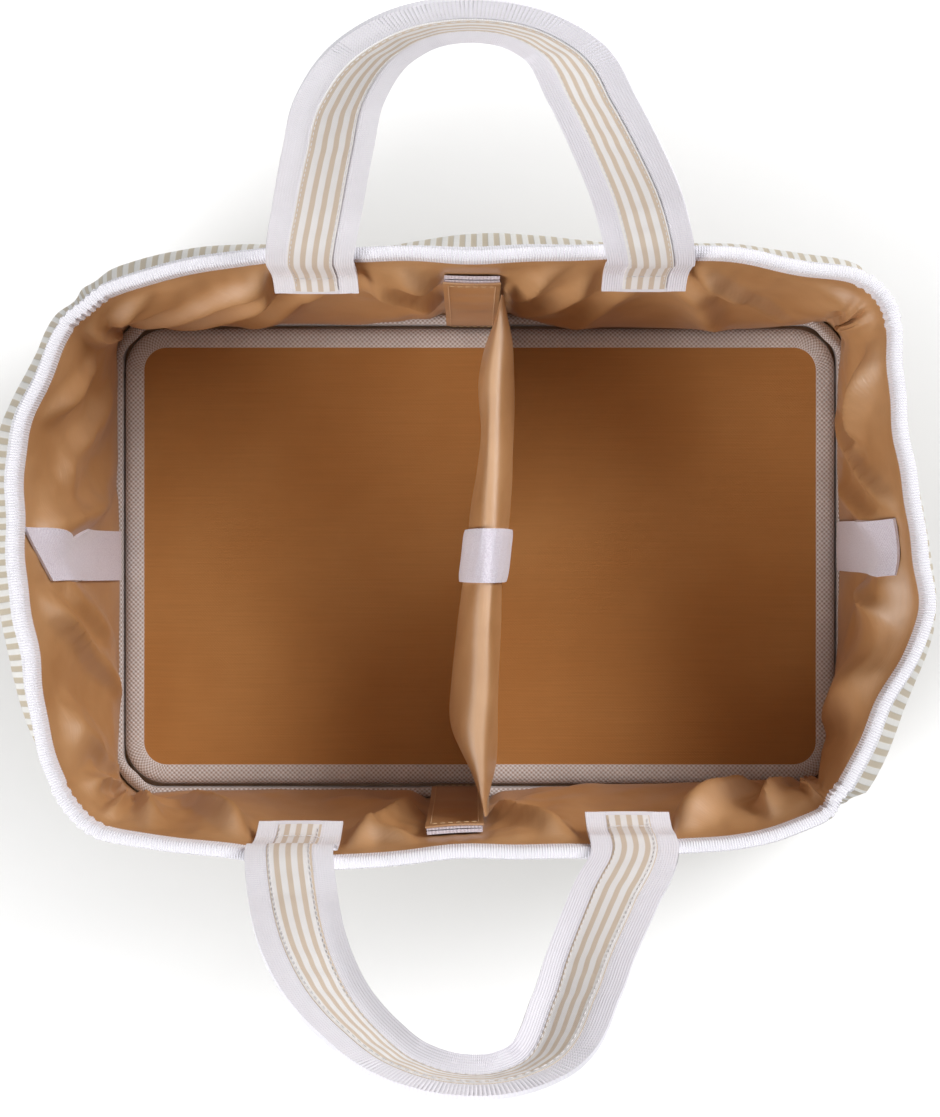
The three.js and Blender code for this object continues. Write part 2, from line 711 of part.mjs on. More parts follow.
// The core stops one station short of the cover's sewn ends.
const coreInset = DIVIDER_CLOTH + 2 * LAYER_GAP;
dividerPiece(
  "divider_foam",
  sheetSolid(
    dividerStations.slice(1, -1),
    rounds.slice(0, COVER_STEPS_ROUND / 2 + 1),
    (y, round, face) => dividerPoint(y, face === 0 ? round : 1 - round, coreInset),
  ),
  FOAM_SHEET,
);
const strapHalf = TAPE_WIDTH / 2;
dividerPiece(
  "divider_loop_strap",
  sheetSolid([-strapHalf, strapHalf], rounds, (y, round, face) =>
    dividerPoint(0, round, face === 0 ? -LAYER_GAP - STRAP_THICKNESS : -LAYER_GAP).setY(y)),
  HOOK_AND_LOOP,
);

export default caddy;
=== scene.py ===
"""Diaper caddy: a lined cloth bag with a loose base insert, a padded divider and two webbing handles."""
import functools
import json
import math

import bpy
import numpy as np
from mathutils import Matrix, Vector
from mathutils.bvhtree import BVHTree


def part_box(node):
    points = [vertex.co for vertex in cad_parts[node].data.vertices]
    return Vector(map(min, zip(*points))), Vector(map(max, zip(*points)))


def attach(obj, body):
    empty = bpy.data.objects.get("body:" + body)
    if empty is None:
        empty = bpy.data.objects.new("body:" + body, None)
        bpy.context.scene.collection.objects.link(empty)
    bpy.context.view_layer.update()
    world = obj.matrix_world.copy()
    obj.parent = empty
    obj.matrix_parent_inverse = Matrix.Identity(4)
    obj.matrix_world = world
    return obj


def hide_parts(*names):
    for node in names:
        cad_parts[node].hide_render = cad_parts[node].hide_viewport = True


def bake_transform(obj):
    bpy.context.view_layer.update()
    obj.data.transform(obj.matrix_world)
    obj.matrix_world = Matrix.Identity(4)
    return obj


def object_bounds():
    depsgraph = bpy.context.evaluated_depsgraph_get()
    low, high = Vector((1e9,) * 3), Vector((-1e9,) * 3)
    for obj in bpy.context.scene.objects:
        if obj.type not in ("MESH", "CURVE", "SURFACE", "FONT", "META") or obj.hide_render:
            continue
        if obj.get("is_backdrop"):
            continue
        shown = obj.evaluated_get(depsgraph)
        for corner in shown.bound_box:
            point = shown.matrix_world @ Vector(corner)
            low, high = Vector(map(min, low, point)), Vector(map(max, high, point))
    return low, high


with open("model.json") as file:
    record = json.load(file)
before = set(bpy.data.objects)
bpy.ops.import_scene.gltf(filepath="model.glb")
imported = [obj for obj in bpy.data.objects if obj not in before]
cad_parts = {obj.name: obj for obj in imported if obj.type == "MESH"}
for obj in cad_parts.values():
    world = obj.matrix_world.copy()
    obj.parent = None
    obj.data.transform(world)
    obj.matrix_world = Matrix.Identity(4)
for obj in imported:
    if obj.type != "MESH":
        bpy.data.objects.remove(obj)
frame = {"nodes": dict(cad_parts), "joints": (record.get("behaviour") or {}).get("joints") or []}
CAD_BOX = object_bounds()

bl_info = {
    "name": "Diaper caddy",
    "version": (1, 0, 0),
    "blender": (4, 5, 0),
    "location": "3D View > Sidebar > Caddy",
    "description": "Dresses a soft diaper caddy: cloth, tapes, webbing, padding and stitching",
    "category": "Add Mesh",
}

MM = 0.001

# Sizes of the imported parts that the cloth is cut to
BASE_LOW, BASE_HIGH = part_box("outer_base_panel")
WALL_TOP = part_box("outer_back_panel")[1].z
INSERT_LOW, INSERT_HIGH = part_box("insert_binding")
INSERT_SIZE = (INSERT_HIGH.x - INSERT_LOW.x, INSERT_HIGH.y - INSERT_LOW.y)
DIVIDER_LOW, DIVIDER_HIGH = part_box("divider_cover")
HINGES = {joint["name"]: joint for joint in frame["joints"]}

# The photograph's frame and the camera that took it, in pixels and metres
PHOTO_HEIGHT = 1117
PHOTO_FOCAL = 2021
SENSOR = 36
CAMERA_PLACE = (-5.2 * MM, -1.3 * MM, 1057 * MM)

# A place counts 0 to 8 round the bag: right wall 0-1, back right corner 1-2, back wall 2-3,
# back left corner 3-4, left wall 4-5, front left corner 5-6, front wall 6-7, front right corner 7-8.
PLACES = 8

# How far the rim stands out from the base outline, as place and millimetres
RIM_SWAY = (
    (0.05, -26), (0.12, -23), (0.2, -16), (0.27, -6.5), (0.34, 1), (0.4, 2.4), (0.5, -1.5), (0.65, -5.4),
    (0.75, -9.8), (1.0, -13), (1.5, -12.3), (1.95, -6.7), (2.06, -3.6), (2.2, 4.3), (2.35, 4.6), (2.5, 2.4),
    (2.6, 3.7), (2.78, 3.3), (2.87, -1.5), (2.95, -7.2), (3.02, -13.5), (3.5, -17.8), (4.05, -7.4),
    (4.17, 4.5), (4.28, 10.9), (4.55, 10.2), (4.7, 4.2), (4.87, 0.6), (4.97, -6), (5.35, -11.2),
    (5.87, -8.3), (6.1, -2), (6.2, 2.6), (6.3, 6.6), (6.4, 3.4), (6.5, 0.8), (6.62, 1.4), (6.75, -0.5),
    (6.85, -4), (6.92, -9), (6.98, -18), (7.5, -25.5),
)

# How far the front right corner of the rim is tucked in, in millimetres, and where the tuck fades out
CORNER_TUCK = (-14, -4)
TUCK_PLACES = (6.84, 6.98, 7.9, 8.12)

# How far the outer cloth swells out below the rim, as place and millimetres
WALL_BELLY = (
    (0.15, 13), (0.45, 10), (1.0, 5), (1.5, 5), (2.12, 9), (2.3, 6), (2.5, 13), (2.68, 6), (2.9, 12),
    (3.3, 10), (3.7, 9), (4.3, 16), (4.6, 16), (5.0, 7), (5.5, 5), (6.2, 4), (6.5, 4), (6.85, 5), (7.3, 5),
    (7.8, 9),
)
BELLY_LEVEL = 0.8

# How far the slack lining may stand in low on the wall, as place and millimetres
LINING_HANG = (
    (0.0, 18), (0.17, 11), (0.28, 10), (0.5, 10), (0.75, 9), (1.0, 8), (1.5, 3), (1.97, 8), (2.05, 11),
    (2.15, 14), (2.38, 14), (2.47, 9), (2.56, 9), (2.7, 10), (2.92, 9), (3.05, 5), (3.5, 2), (4.0, 5),
    (4.25, 7), (4.5, 9.5), (4.75, 9), (5.0, 6), (5.5, 2), (6.0, 6), (6.12, 8), (6.3, 10), (6.4, 11),
    (6.52, 10), (6.65, 14), (6.9, 15), (7.02, 9), (7.5, 3), (7.8, 12),
)
HANG_SHARE = 0.5
HANG_WIDENING = 0.12

# How far it bulges in higher up, as place and millimetres
LINING_SWAG = (
    (0.0, 2), (0.22, 4), (0.34, 11), (0.43, 12), (0.5, 6), (0.62, 3), (0.8, 7), (0.95, 5), (1.5, 1),
    (2.08, 5), (2.3, 3), (2.5, 1), (2.7, 3), (2.86, 6), (3.1, 4), (3.5, 1), (4.0, 3), (4.3, 5), (4.5, 4),
    (4.7, 6), (5.0, 4), (5.5, 1), (6.1, 5), (6.3, 3), (6.5, 1), (6.7, 4), (6.88, 7), (7.2, 2), (7.6, 1),
)
SWAG_HEIGHT = 130 * MM
SWAG_SPREAD = 27 * MM

# Folds of the lining: place and height of each end, half width and how far it stands in, in millimetres
LINING_FOLDS = (
    (2.79, 152, 3.2, 95, 8, 8), (2.78, 138, 2.97, 58, 9, 8), (2.72, 128, 2.86, 35, 10, 7),
    (2.88, 164, 3.3, 138, 7, 6), (2.66, 140, 2.56, 70, 9, 7), (2.62, 160, 2.55, 118, 7, 6),
    (2.34, 142, 2.45, 72, 9, 7), (2.4, 162, 2.46, 108, 7, 6), (2.3, 120, 2.36, 40, 10, 6),
    (2.21, 152, 2.05, 78, 5, 6), (2.2, 120, 2.14, 42, 10, 7), (2.1, 162, 1.85, 148, 7, 6),
    (1.64, 162, 1.57, 60, 4, 7), (1.38, 165, 1.45, 66, 4, 7), (1.22, 150, 1.3, 88, 6, 6),
    (0.62, 152, 0.86, 35, 5, 6), (0.58, 138, 0.68, 48, 7, 6), (0.92, 156, 0.78, 108, 8, 8),
    (0.46, 150, 0.3, 164, 8, 7), (0.36, 150, 0.42, 98, 8, 7), (0.2, 150, 0.1, 60, 14, 7),
    (7.2, 150, 7, 58, 5, 7), (7.36, 140, 7.22, 48, 5, 7), (6.78, 152, 6.9, 68, 11, 11),
    (6.93, 152, 6.98, 78, 6, 7), (6.6, 150, 6.52, 88, 8, 7), (6.33, 152, 6.4, 78, 8, 7),
    (6.45, 164, 6.36, 138, 7, 6), (6.17, 152, 6.08, 78, 8, 8), (6.05, 156, 6, 88, 6, 7),
    (5.82, 150, 5.7, 58, 5, 7), (5.28, 142, 5.42, 58, 6, 6), (4.62, 152, 4.86, 30, 6, 7),
    (4.9, 142, 5.16, 58, 12, 8), (4.6, 122, 4.7, 58, 10, 6), (4.44, 152, 4.36, 58, 8, 7),
    (4.3, 122, 4.1, 58, 12, 7), (4.2, 160, 4.05, 118, 8, 6), (3.76, 150, 3.65, 58, 6, 6),
)


def tint(red, green, blue):
    """Linear colour of three display values from 0 to 255."""
    return tuple(
        value / 12.92 if value <= 0.04045 else ((value + 0.055) / 1.055) ** 2.4
        for value in (red / 255, green / 255, blue / 255)
    )


def length(name, default, description):
    """Property for a length in metres."""
    return bpy.props.FloatProperty(name=name, default=default, description=description, unit="LENGTH", min=0)


def colour(name, default, description):
    """Property for a linear colour."""
    return bpy.props.FloatVectorProperty(
        name=name, default=default, description=description, subtype="COLOR", size=3, min=0, max=1
    )


class CaddySizes(bpy.types.PropertyGroup):
    """Sizes of the caddy's cloth, tapes and padding."""

    base_length: length("Base length", BASE_HIGH.x - BASE_LOW.x, "Length of the bag's base")
    base_width: length("Base width", BASE_HIGH.y - BASE_LOW.y, "Width of the bag's base")
    corner_radius: length("Corner radius", 28 * MM, "Radius of the base's corners")
    wall_height: length("Wall height", WALL_TOP, "Height of the walls under the rim binding")
    outer_cloth: length("Outer cloth", 0.8 * MM, "Thickness of the striped cloth")
    wall_padding: length("Wall padding", 3.6 * MM, "Depth from the outer face to the lining's back")
    lining_cloth: length("Lining cloth", 0.5 * MM, "Thickness of the satin")
    lining_ease: length("Lining ease", 9 * MM, "How far a fold of the lining may stand in")
    binding_drop: length("Binding drop", 11 * MM, "Height of the tape that folds over the rim")
    rim_width: length("Rim width", 5.4 * MM, "Width of the bound rim from outside to inside")
    rib_pitch: length("Rib pitch", 1.18 * MM, "Distance between the ribs of the webbing and the binding")
    stripe_pitch: length("Stripe pitch", 5.2 * MM, "Distance between two tan stripes")
    tape_width: length("Tape width", 25 * MM, "Width of the hook-and-loop tapes")
    tape_thickness: length("Tape thickness", 1.5 * MM, "Thickness of the hook-and-loop tapes")
    webbing_width: length("Webbing width", 38 * MM, "Width of the handles' webbing")
    webbing_thickness: length("Webbing thickness", 1.9 * MM, "Thickness of the handles' webbing")
    ribbon_width: length("Ribbon width", 19.5 * MM, "Width of the ribbon on the handles")
    ribbon_thickness: length("Ribbon thickness", 0.6 * MM, "Thickness of the ribbon")
    insert_binding_reach: length("Insert binding reach", 10.5 * MM, "Width of the insert's tape on its top")
    insert_corner: length("Insert corner", 22 * MM, "Radius of the insert's corners")
    weave_pitch: length("Weave pitch", 2.4 * MM, "Distance between the knuckles of the insert's tape")
    stitch_length: length("Stitch length", 2.6 * MM, "Length of one stitch")
    thread: length("Thread", 0.45 * MM, "Thickness of the sewing thread")


class CaddyColours(bpy.types.PropertyGroup):
    """Colours of the caddy's finishes."""

    satin: colour("Satin", tint(192, 147, 102), "Golden lining")
    satin_shade: colour("Satin shade", tint(173, 126, 80), "Golden lining across its grain")
    stripe: colour("Stripe", tint(192, 179, 158), "Tan stripe of the outer cloth")
    ground: colour("Ground", tint(232, 230, 226), "White ground of the outer cloth")
    webbing: colour("Webbing", tint(246, 245, 249), "White webbing and rim binding")
    # Painted shade: the grooves between the webbing's ribs are given this darker colour
    webbing_groove_shade: colour("Webbing groove", tint(234, 231, 240), "Grooves between the webbing's ribs")
    ribbon: colour("Ribbon", tint(246, 244, 243), "Cream ground of the ribbon")
    ribbon_stripe: colour("Ribbon stripe", tint(220, 203, 184), "Tan stripe of the ribbon")
    insert: colour("Insert cloth", tint(199, 142, 83), "Cloth on the base insert")
    insert_shade: colour("Insert shade", tint(185, 126, 68), "Insert cloth between its threads")
    tape: colour("Insert tape", tint(248, 244, 245), "Knuckles of the insert's tape")
    # Painted shade: the gaps between the tape's knuckles are given this darker colour
    tape_gap_shade: colour("Insert tape gap", tint(166, 142, 126), "Gaps of the insert's tape")
    loop_tape: colour("Loop tape", tint(232, 226, 236), "Hook-and-loop tape")
    loop_shade: colour("Loop shade", tint(206, 196, 210), "Hook-and-loop tape between its loops")
    white_thread: colour("White thread", tint(240, 238, 240), "Thread on the white tapes")
    gold_thread: colour("Gold thread", tint(222, 190, 148), "Thread on the satin")
    board: colour("Board", tint(150, 140, 128), "Board inside the insert")
    foam: colour("Foam", tint(236, 232, 222), "Foam inside the walls")


# Shapes of the wall

# The rim line is sampled at this many steps, and its turns are softened over this length
RING_SAMPLES = 1600
RIM_BLUR = 9 * MM

# Columns of the wall's lines
BASE_LINE = slice(0, 2)
BASE_OUT = slice(2, 4)
RIM_LINE = slice(4, 6)
RIM_OUT = slice(6, 8)


def smooth_step(value):
    """Eased share from 0 to 1."""
    value = np.clip(value, 0.0, 1.0)
    return value * value * (3 - 2 * value)


def hermite(knots, values, at, slopes=None):
    """Smooth curve through values at knots, read at an array of places; values may have several columns."""
    if slopes is None:
        slopes = np.gradient(values, knots, axis=0)
    index = np.clip(np.searchsorted(knots, at) - 1, 0, len(knots) - 2)
    span = knots[index + 1] - knots[index]
    share = (at - knots[index]) / span
    if values.ndim > 1:
        span = span[:, None]
        share = share[:, None]
    square = share * share
    cube = square * share
    return (
        values[index] * (2 * cube - 3 * square + 1)
        + slopes[index] * span * (cube - 2 * square + share)
        + values[index + 1] * (3 * square - 2 * cube)
        + slopes[index + 1] * span * (cube - square)
    )


def gentle_slopes(knots, values):
    """Slopes at knots that never carry the curve past its stations."""
    rates = np.diff(values) / np.diff(knots)
    before = rates[:-1]
    after = rates[1:]
    same_way = before * after > 0
    total = np.where(same_way, before + after, 1.0)
    inner = np.where(same_way, 2 * before * after / total, 0.0)
    return np.concatenate([[0.0], inner, [0.0]])


def station_value(stations, place):
    """Smooth value in metres of a closed list of stations at an array of places."""
    table = np.array(stations, float)
    knots = np.concatenate([table[-3:, 0] - PLACES, table[:, 0], table[:3, 0] + PLACES])
    values = np.concatenate([table[-3:, 1], table[:, 1], table[:3, 1]])
    return hermite(knots, values, np.mod(place, PLACES), gentle_slopes(knots, values)) * MM


def stretch_lengths(size, radius):
    """Lengths of the eight stretches of a rectangle with rounded corners, in the order of its places."""
    end_wall = size[1] - 2 * radius
    long_wall = size[0] - 2 * radius
    corner = radius * math.pi / 2
    return np.array([end_wall, corner, long_wall, corner] * 2)


def place_on(lengths, share):
    """Place at a share of the way round an outline of eight stretches."""
    reached = np.concatenate([[0], np.cumsum(lengths)])
    return np.interp(share * reached[-1], reached, np.arange(PLACES + 1))


def rounded_outline(size, radius, place):
    """Points of a rectangle with rounded corners at an array of places, with their outward directions."""
    part = np.floor(place).astype(int) % PLACES
    share = place - np.floor(place)
    at_corner = part % 2 == 1
    angle = (part // 2 + np.where(at_corner, share, 0)) * math.pi / 2
    out = np.stack([np.cos(angle), np.sin(angle)], axis=-1)
    along = np.stack([-out[:, 1], out[:, 0]], axis=-1)
    core = np.array(size) / 2 - radius
    end_wall = part % 4 == 0
    run = np.where(end_wall, core[1], core[0]) * (2 * share - 1)
    straight = out * np.where(end_wall, core[0], core[1])[:, None] + along * run[:, None]
    sign_x = np.where((part == 1) | (part == 7), 1, -1)
    sign_y = np.where(part < 4, 1, -1)
    centre = np.stack([sign_x * core[0], sign_y * core[1]], axis=-1)
    return np.where(at_corner[:, None], centre, straight) + out * radius, out


def base_size(sizes):
    """Length and width of the bag's base."""
    return sizes.base_length, sizes.base_width


def base_lengths(sizes):
    """Lengths of the eight stretches of the base outline."""
    return stretch_lengths(base_size(sizes), sizes.corner_radius)


def perimeter_of(sizes):
    """Length of the base outline."""
    return float(base_lengths(sizes).sum())


def place_at(sizes, share):
    """Place at a share of the way round the base outline."""
    return place_on(base_lengths(sizes), share)


def belly_share(level):
    """How much of the belly shows at a share of the wall's height."""
    below = smooth_step(level / BELLY_LEVEL)
    above = smooth_step((1 - level) / (1 - BELLY_LEVEL))
    return np.where(level < BELLY_LEVEL, below, above)


def blur_ring(values, spread):
    """Smooths a closed run of values over so many samples each way."""
    turns = np.fft.fftfreq(len(values))
    keep = np.exp(-2 * (math.pi * turns * spread) ** 2)
    return np.fft.ifft(np.fft.fft(values, axis=0) * keep[:, None], axis=0).real


@functools.lru_cache(maxsize=4)
def ring_lines(size, radius):
    """Base line and rim line of the wall, with their outward directions, at even steps round the base."""
    lengths = stretch_lengths(size, radius)
    place = place_on(lengths, np.arange(RING_SAMPLES) / RING_SAMPLES)
    base, base_out = rounded_outline(size, radius, place)
    start, whole, fade, end = TUCK_PLACES
    tucked = smooth_step((place - start) / (whole - start))
    past = np.where(place < 1, place + PLACES, place)
    freed = smooth_step((end - past) / (end - fade))
    tuck = np.where(past > fade, freed, tucked)[:, None] * np.array(CORNER_TUCK) * MM
    rim = base + base_out * station_value(RIM_SWAY, place)[:, None] + tuck
    spread = RIM_BLUR / lengths.sum() * RING_SAMPLES
    rim = blur_ring(rim, spread)
    along = np.roll(rim, -1, axis=0) - np.roll(rim, 1, axis=0)
    rim_out = blur_ring(np.column_stack([along[:, 1], -along[:, 0]]), spread)
    rim_out /= np.linalg.norm(rim_out, axis=1)[:, None]
    lines = np.column_stack([base, base_out, rim, rim_out])
    return np.concatenate([lines, lines[:1]])


def lines_of(sizes):
    """The wall's lines at the present sizes."""
    return ring_lines(base_size(sizes), sizes.corner_radius)


def run_lengths(points):
    """Length reached at each point of a line."""
    return np.concatenate([[0], np.cumsum(np.linalg.norm(np.diff(points, axis=0), axis=1))])


def share_at(sizes, place):
    """Share of the way round the base outline at a place."""
    reached = np.concatenate([[0], np.cumsum(base_lengths(sizes))])
    return np.interp(np.mod(place, PLACES), np.arange(PLACES + 1), reached) / reached[-1]


def rim_run(sizes):
    """Length of the rim line reached at each of its samples."""
    return run_lengths(lines_of(sizes)[:, RIM_LINE])


def rim_place(sizes, share):
    """Place at a share of the way round the rim line."""
    reached = rim_run(sizes)
    sample = np.interp(share * reached[-1], reached, np.arange(RING_SAMPLES + 1))
    return place_at(sizes, sample / RING_SAMPLES)


def wall_frame(sizes, place, height):
    """Points of the wall's plain face at places and heights, with its outward directions."""
    at = share_at(sizes, place) * RING_SAMPLES
    steps = np.arange(RING_SAMPLES + 1)
    read = np.column_stack([np.interp(at, steps, column) for column in lines_of(sizes).T])
    ease = smooth_step(np.clip(height / sizes.wall_height, 0, 1))[:, None]
    spot = read[:, BASE_LINE] * (1 - ease) + read[:, RIM_LINE] * ease
    out = read[:, BASE_OUT] * (1 - ease) + read[:, RIM_OUT] * ease
    return spot, out / np.linalg.norm(out, axis=1)[:, None]


def wall_points(sizes, place, height, depth, swell=0.0):
    """Points of the wall at places and heights, a depth in from its face; the outer cloth swells out."""
    place = np.asarray(place, float)
    height = np.broadcast_to(height, place.shape)
    depth = np.broadcast_to(depth, place.shape)
    spot, out = wall_frame(sizes, place, height)
    belly = station_value(WALL_BELLY, place) * belly_share(np.clip(height / sizes.wall_height, 0, 1))
    spot = spot + out * (swell * belly - depth)[:, None]
    return np.column_stack([spot, height])


def wall_inward(sizes, place, height):
    """Inward directions of the wall at places and heights."""
    place = np.asarray(place, float)
    _, out = wall_frame(sizes, place, np.broadcast_to(height, place.shape))
    return np.column_stack([-out, np.zeros(len(out))])


def back_place(sizes, x):
    """Place on the back wall at an x."""
    return 2.5 - x / (sizes.base_length - 2 * sizes.corner_radius)


def front_place(sizes, x):
    """Place on the front wall at an x."""
    return 6.5 + x / (sizes.base_length - 2 * sizes.corner_radius)


# Mesh helpers

# Distance from one stitch to the next, in stitch lengths
STITCH_SPACING = 1.35

# Corners of a soft piece sharper than this keep a sharp edge
SHARP_ANGLE = math.radians(50)


def clear_selection():
    """Leaves nothing selected, so that an operator acts on what is made next."""
    if bpy.context.object and bpy.context.object.mode != "OBJECT":
        bpy.ops.object.mode_set(mode="OBJECT")
    bpy.ops.object.select_all(action="DESELECT")


def select_only(obj):
    """Makes one object the selected and active one."""
    clear_selection()
    obj.select_set(True)
    bpy.context.view_layer.objects.active = obj


def read_points(obj):
    """Vertex places of a mesh object as an array."""
    points = np.empty(len(obj.data.vertices) * 3, np.float32)
    obj.data.vertices.foreach_get("co", points)
    return points.reshape(-1, 3).astype(float)


def write_points(obj, points):
    """Sets the vertex places of a mesh object."""
    obj.data.vertices.foreach_set("co", np.asarray(points, np.float32).ravel())
    obj.data.update()


def store_values(obj, name, values):
    """Keeps one value for each vertex of a mesh."""
    attribute = obj.data.attributes.new(name, "FLOAT", "POINT")
    attribute.data.foreach_set("value", np.asarray(values, np.float32))


def store_turn(obj, place):
    """Keeps the place of each vertex round the wall, as a turn that has no jump at the end."""
    store_values(obj, "turn_x", np.cos(place * 2 * math.pi / PLACES))
    store_values(obj, "turn_y", np.sin(place * 2 * math.pi / PLACES))


def take_turn(obj):
    """Reads the places kept for a mesh's vertices, and drops them from the mesh."""
    turn = np.arctan2(take_values(obj, "turn_y"), take_values(obj, "turn_x"))
    return np.mod(turn * PLACES / (2 * math.pi), PLACES)


def take_values(obj, name):
    """Reads the values kept for a mesh's vertices, and drops them from the mesh."""
    values = np.empty(len(obj.data.vertices), np.float32)
    obj.data.attributes[name].data.foreach_get("value", values)
    obj.data.attributes.remove(obj.data.attributes[name])
    return values.astype(float)


def cloth_grid(name, columns, rows, flat, shape):
    """Adds a grid of cloth of a flat size and lays it where shape(u, v) says; its UV map is in metres."""
    clear_selection()
    bpy.ops.mesh.primitive_grid_add(x_subdivisions=columns, y_subdivisions=rows, size=1)
    obj = bpy.context.object
    obj.name = name
    obj.data.name = name
    cut = read_points(obj)[:, :2] + 0.5
    write_points(obj, shape(cut[:, 0], cut[:, 1]))
    corner_vertex = np.empty(len(obj.data.loops), np.int32)
    obj.data.loops.foreach_get("vertex_index", corner_vertex)
    layer = obj.data.uv_layers.active
    layer.data.foreach_set("uv", (cut[corner_vertex] * np.array(flat)).astype(np.float32).ravel())
    return obj


def edit_all(obj, *steps):
    """Runs edit mode operators on a whole mesh."""
    select_only(obj)
    bpy.ops.object.mode_set(mode="EDIT")
    bpy.ops.mesh.select_all(action="SELECT")
    for step in steps:
        step()
    bpy.ops.object.mode_set(mode="OBJECT")


def close_seam(obj):
    """Joins the meeting edges of a grid that runs round on itself."""
    edit_all(obj, lambda: bpy.ops.mesh.remove_doubles(threshold=1e-6))


def turn_over(obj):
    """Turns a sheet's faces to its other side."""
    edit_all(obj, bpy.ops.mesh.flip_normals)


def face_outwards(obj):
    """Turns the faces of a closed mesh outwards."""
    edit_all(obj, lambda: bpy.ops.mesh.normals_make_consistent(inside=False))


def turn_map(obj):
    """Swaps the two directions of a tape's UV map, so that its ribs lie across it."""
    layer = obj.data.uv_layers.active
    flat = np.empty(len(layer.data) * 2, np.float32)
    layer.data.foreach_get("uv", flat)
    layer.data.foreach_set("uv", flat.reshape(-1, 2)[:, ::-1].ravel())


def apply_modifier(obj, kind, **settings):
    """Adds a modifier with these settings and applies it."""
    select_only(obj)
    bpy.ops.object.modifier_add(type=kind)
    modifier = obj.modifiers[-1]
    for name, value in settings.items():
        setattr(modifier, name, value)
    bpy.ops.object.modifier_apply(modifier=modifier.name)


def thicken(obj, thickness, offset=-1.0):
    """Gives a sheet its thickness: offset -1 grows it behind its face, 0 to both sides."""
    apply_modifier(obj, "SOLIDIFY", thickness=thickness, offset=offset, use_even_offset=False)


def soften(obj):
    """Subdivides a mesh smoothly, once."""
    apply_modifier(
        obj, "SUBSURF", levels=1, render_levels=1, boundary_smooth="PRESERVE_CORNERS", uv_smooth="NONE"
    )


def smooth_shading(obj):
    """Shades a soft piece smoothly, with its sharp tape edges kept."""
    select_only(obj)
    bpy.ops.object.shade_smooth_by_angle(angle=SHARP_ANGLE)


def dress(obj, material, body, slot, *replaced):
    """Gives a finished piece its material, and ties it to its body and CAD nodes; the slot is not used."""
    smooth_shading(obj)
    obj.data.materials.clear()
    obj.data.materials.append(material)
    if body:
        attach(obj, body)
    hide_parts(*replaced)
    return obj


def ripple(points, waves):
    """Sum of a few fixed waves at points; each wave is a direction, a wavelength, a phase and a height."""
    total = np.zeros(len(points))
    for direction, wavelength, phase, height in waves:
        along = points @ np.array(direction, float)
        total += height * np.sin(2 * math.pi * along / wavelength + phase)
    return total


def stitch_rows(name, rows, sizes):
    """Mesh of stitches: each row is points along a seam and the normals of the cloth under it."""
    clear_selection()
    bpy.ops.mesh.primitive_uv_sphere_add(segments=6, ring_count=4, radius=0.5)
    form = bpy.context.object
    body = read_points(form)
    faces = [list(face.vertices) for face in form.data.polygons]
    bpy.data.objects.remove(form)
    vertices = []
    polygons = []
    for path, normals in rows:
        reached = run_lengths(path)
        count = max(1, int(reached[-1] / (sizes.stitch_length * STITCH_SPACING)))
        for middle in (np.arange(count) + 0.5) * reached[-1] / count:
            ends = middle + np.array([-0.5, 0.5]) * sizes.stitch_length
            start, end = np.column_stack([np.interp(ends, reached, column) for column in path.T])
            up = np.array([np.interp(middle, reached, column) for column in normals.T])
            along = end - start
            along /= np.linalg.norm(along)
            up -= along * (up @ along)
            up /= np.linalg.norm(up)
            placed = (
                (start + end) / 2
                + body[:, :1] * np.cross(up, along) * sizes.thread
                + body[:, 1:2] * up * sizes.thread
                + body[:, 2:] * along * sizes.stitch_length
            )
            first = len(vertices) * len(body)
            vertices.append(placed)
            polygons += [[first + corner for corner in face] for face in faces]
    mesh = bpy.data.meshes.new(name)
    mesh.from_pydata(np.concatenate(vertices), [], polygons)
    obj = bpy.data.objects.new(name, mesh)
    bpy.context.collection.objects.link(obj)
    return obj


# Materials

# Kinds of socket of a node group
FLOAT = "NodeSocketFloat"
VECTOR = "NodeSocketVector"
COLOUR = "NodeSocketColor"

# Gloss of the satin and of the insert's cloth, as sockets of the shader
SATIN_GLOSS = (
    ("IOR", 1.8),
    ("Specular IOR Level", 0.8),
    ("Anisotropic", 0.45),
    ("Coat Weight", 0.25),
    ("Coat Roughness", 0.22),
)
INSERT_GLOSS = (("Specular IOR Level", 0.2),)
SHEEN_ROUGHNESS = 0.4


def put(tree, kind, inputs=(), **settings):
    """Adds a node; inputs are (socket, value or output socket) pairs."""
    node = tree.nodes.new(kind)
    for name, value in settings.items():
        setattr(node, name, value)
    for socket, value in inputs:
        if isinstance(value, bpy.types.NodeSocket):
            tree.links.new(value, node.inputs[socket])
        else:
            node.inputs[socket].default_value = value
    return node


def maths(tree, operation, *values):
    """Output of a Math node."""
    return put(tree, "ShaderNodeMath", enumerate(values), operation=operation).outputs[0]


def mix_colour(tree, share, first, second):
    """Output of a colour Mix node; its colours are sockets 6 and 7."""
    node = put(tree, "ShaderNodeMix", [(0, share), (6, first), (7, second)], data_type="RGBA")
    return node.outputs[2]


def multiply_colour(tree, base, tone):
    """Output of a Mix node that multiplies a colour by a tone."""
    inputs = [(0, 1.0), (6, base), (7, tone)]
    return put(tree, "ShaderNodeMix", inputs, data_type="RGBA", blend_type="MULTIPLY").outputs[2]


def noise(tree, place, scale, detail):
    """Output of soft noise at a place."""
    inputs = [("Vector", place), ("Scale", scale), ("Detail", detail)]
    return put(tree, "ShaderNodeTexNoise", inputs).outputs[0]


def opaque(rgb):
    """Colour with full opacity."""
    return (*rgb, 1.0)


def shade(rgb, share):
    """Darker tone of a colour."""
    return [share * value for value in rgb]


def new_group(name, inputs, outputs):
    """Shader node group with float, vector or colour sockets, and its two ends."""
    group = bpy.data.node_groups.new(name, "ShaderNodeTree")
    for socket, kind in inputs:
        group.interface.new_socket(socket, in_out="INPUT", socket_type=kind)
    for socket, kind in outputs:
        group.interface.new_socket(socket, in_out="OUTPUT", socket_type=kind)
    start = group.nodes.new("NodeGroupInput")
    end = group.nodes.new("NodeGroupOutput")
    return group, start, end


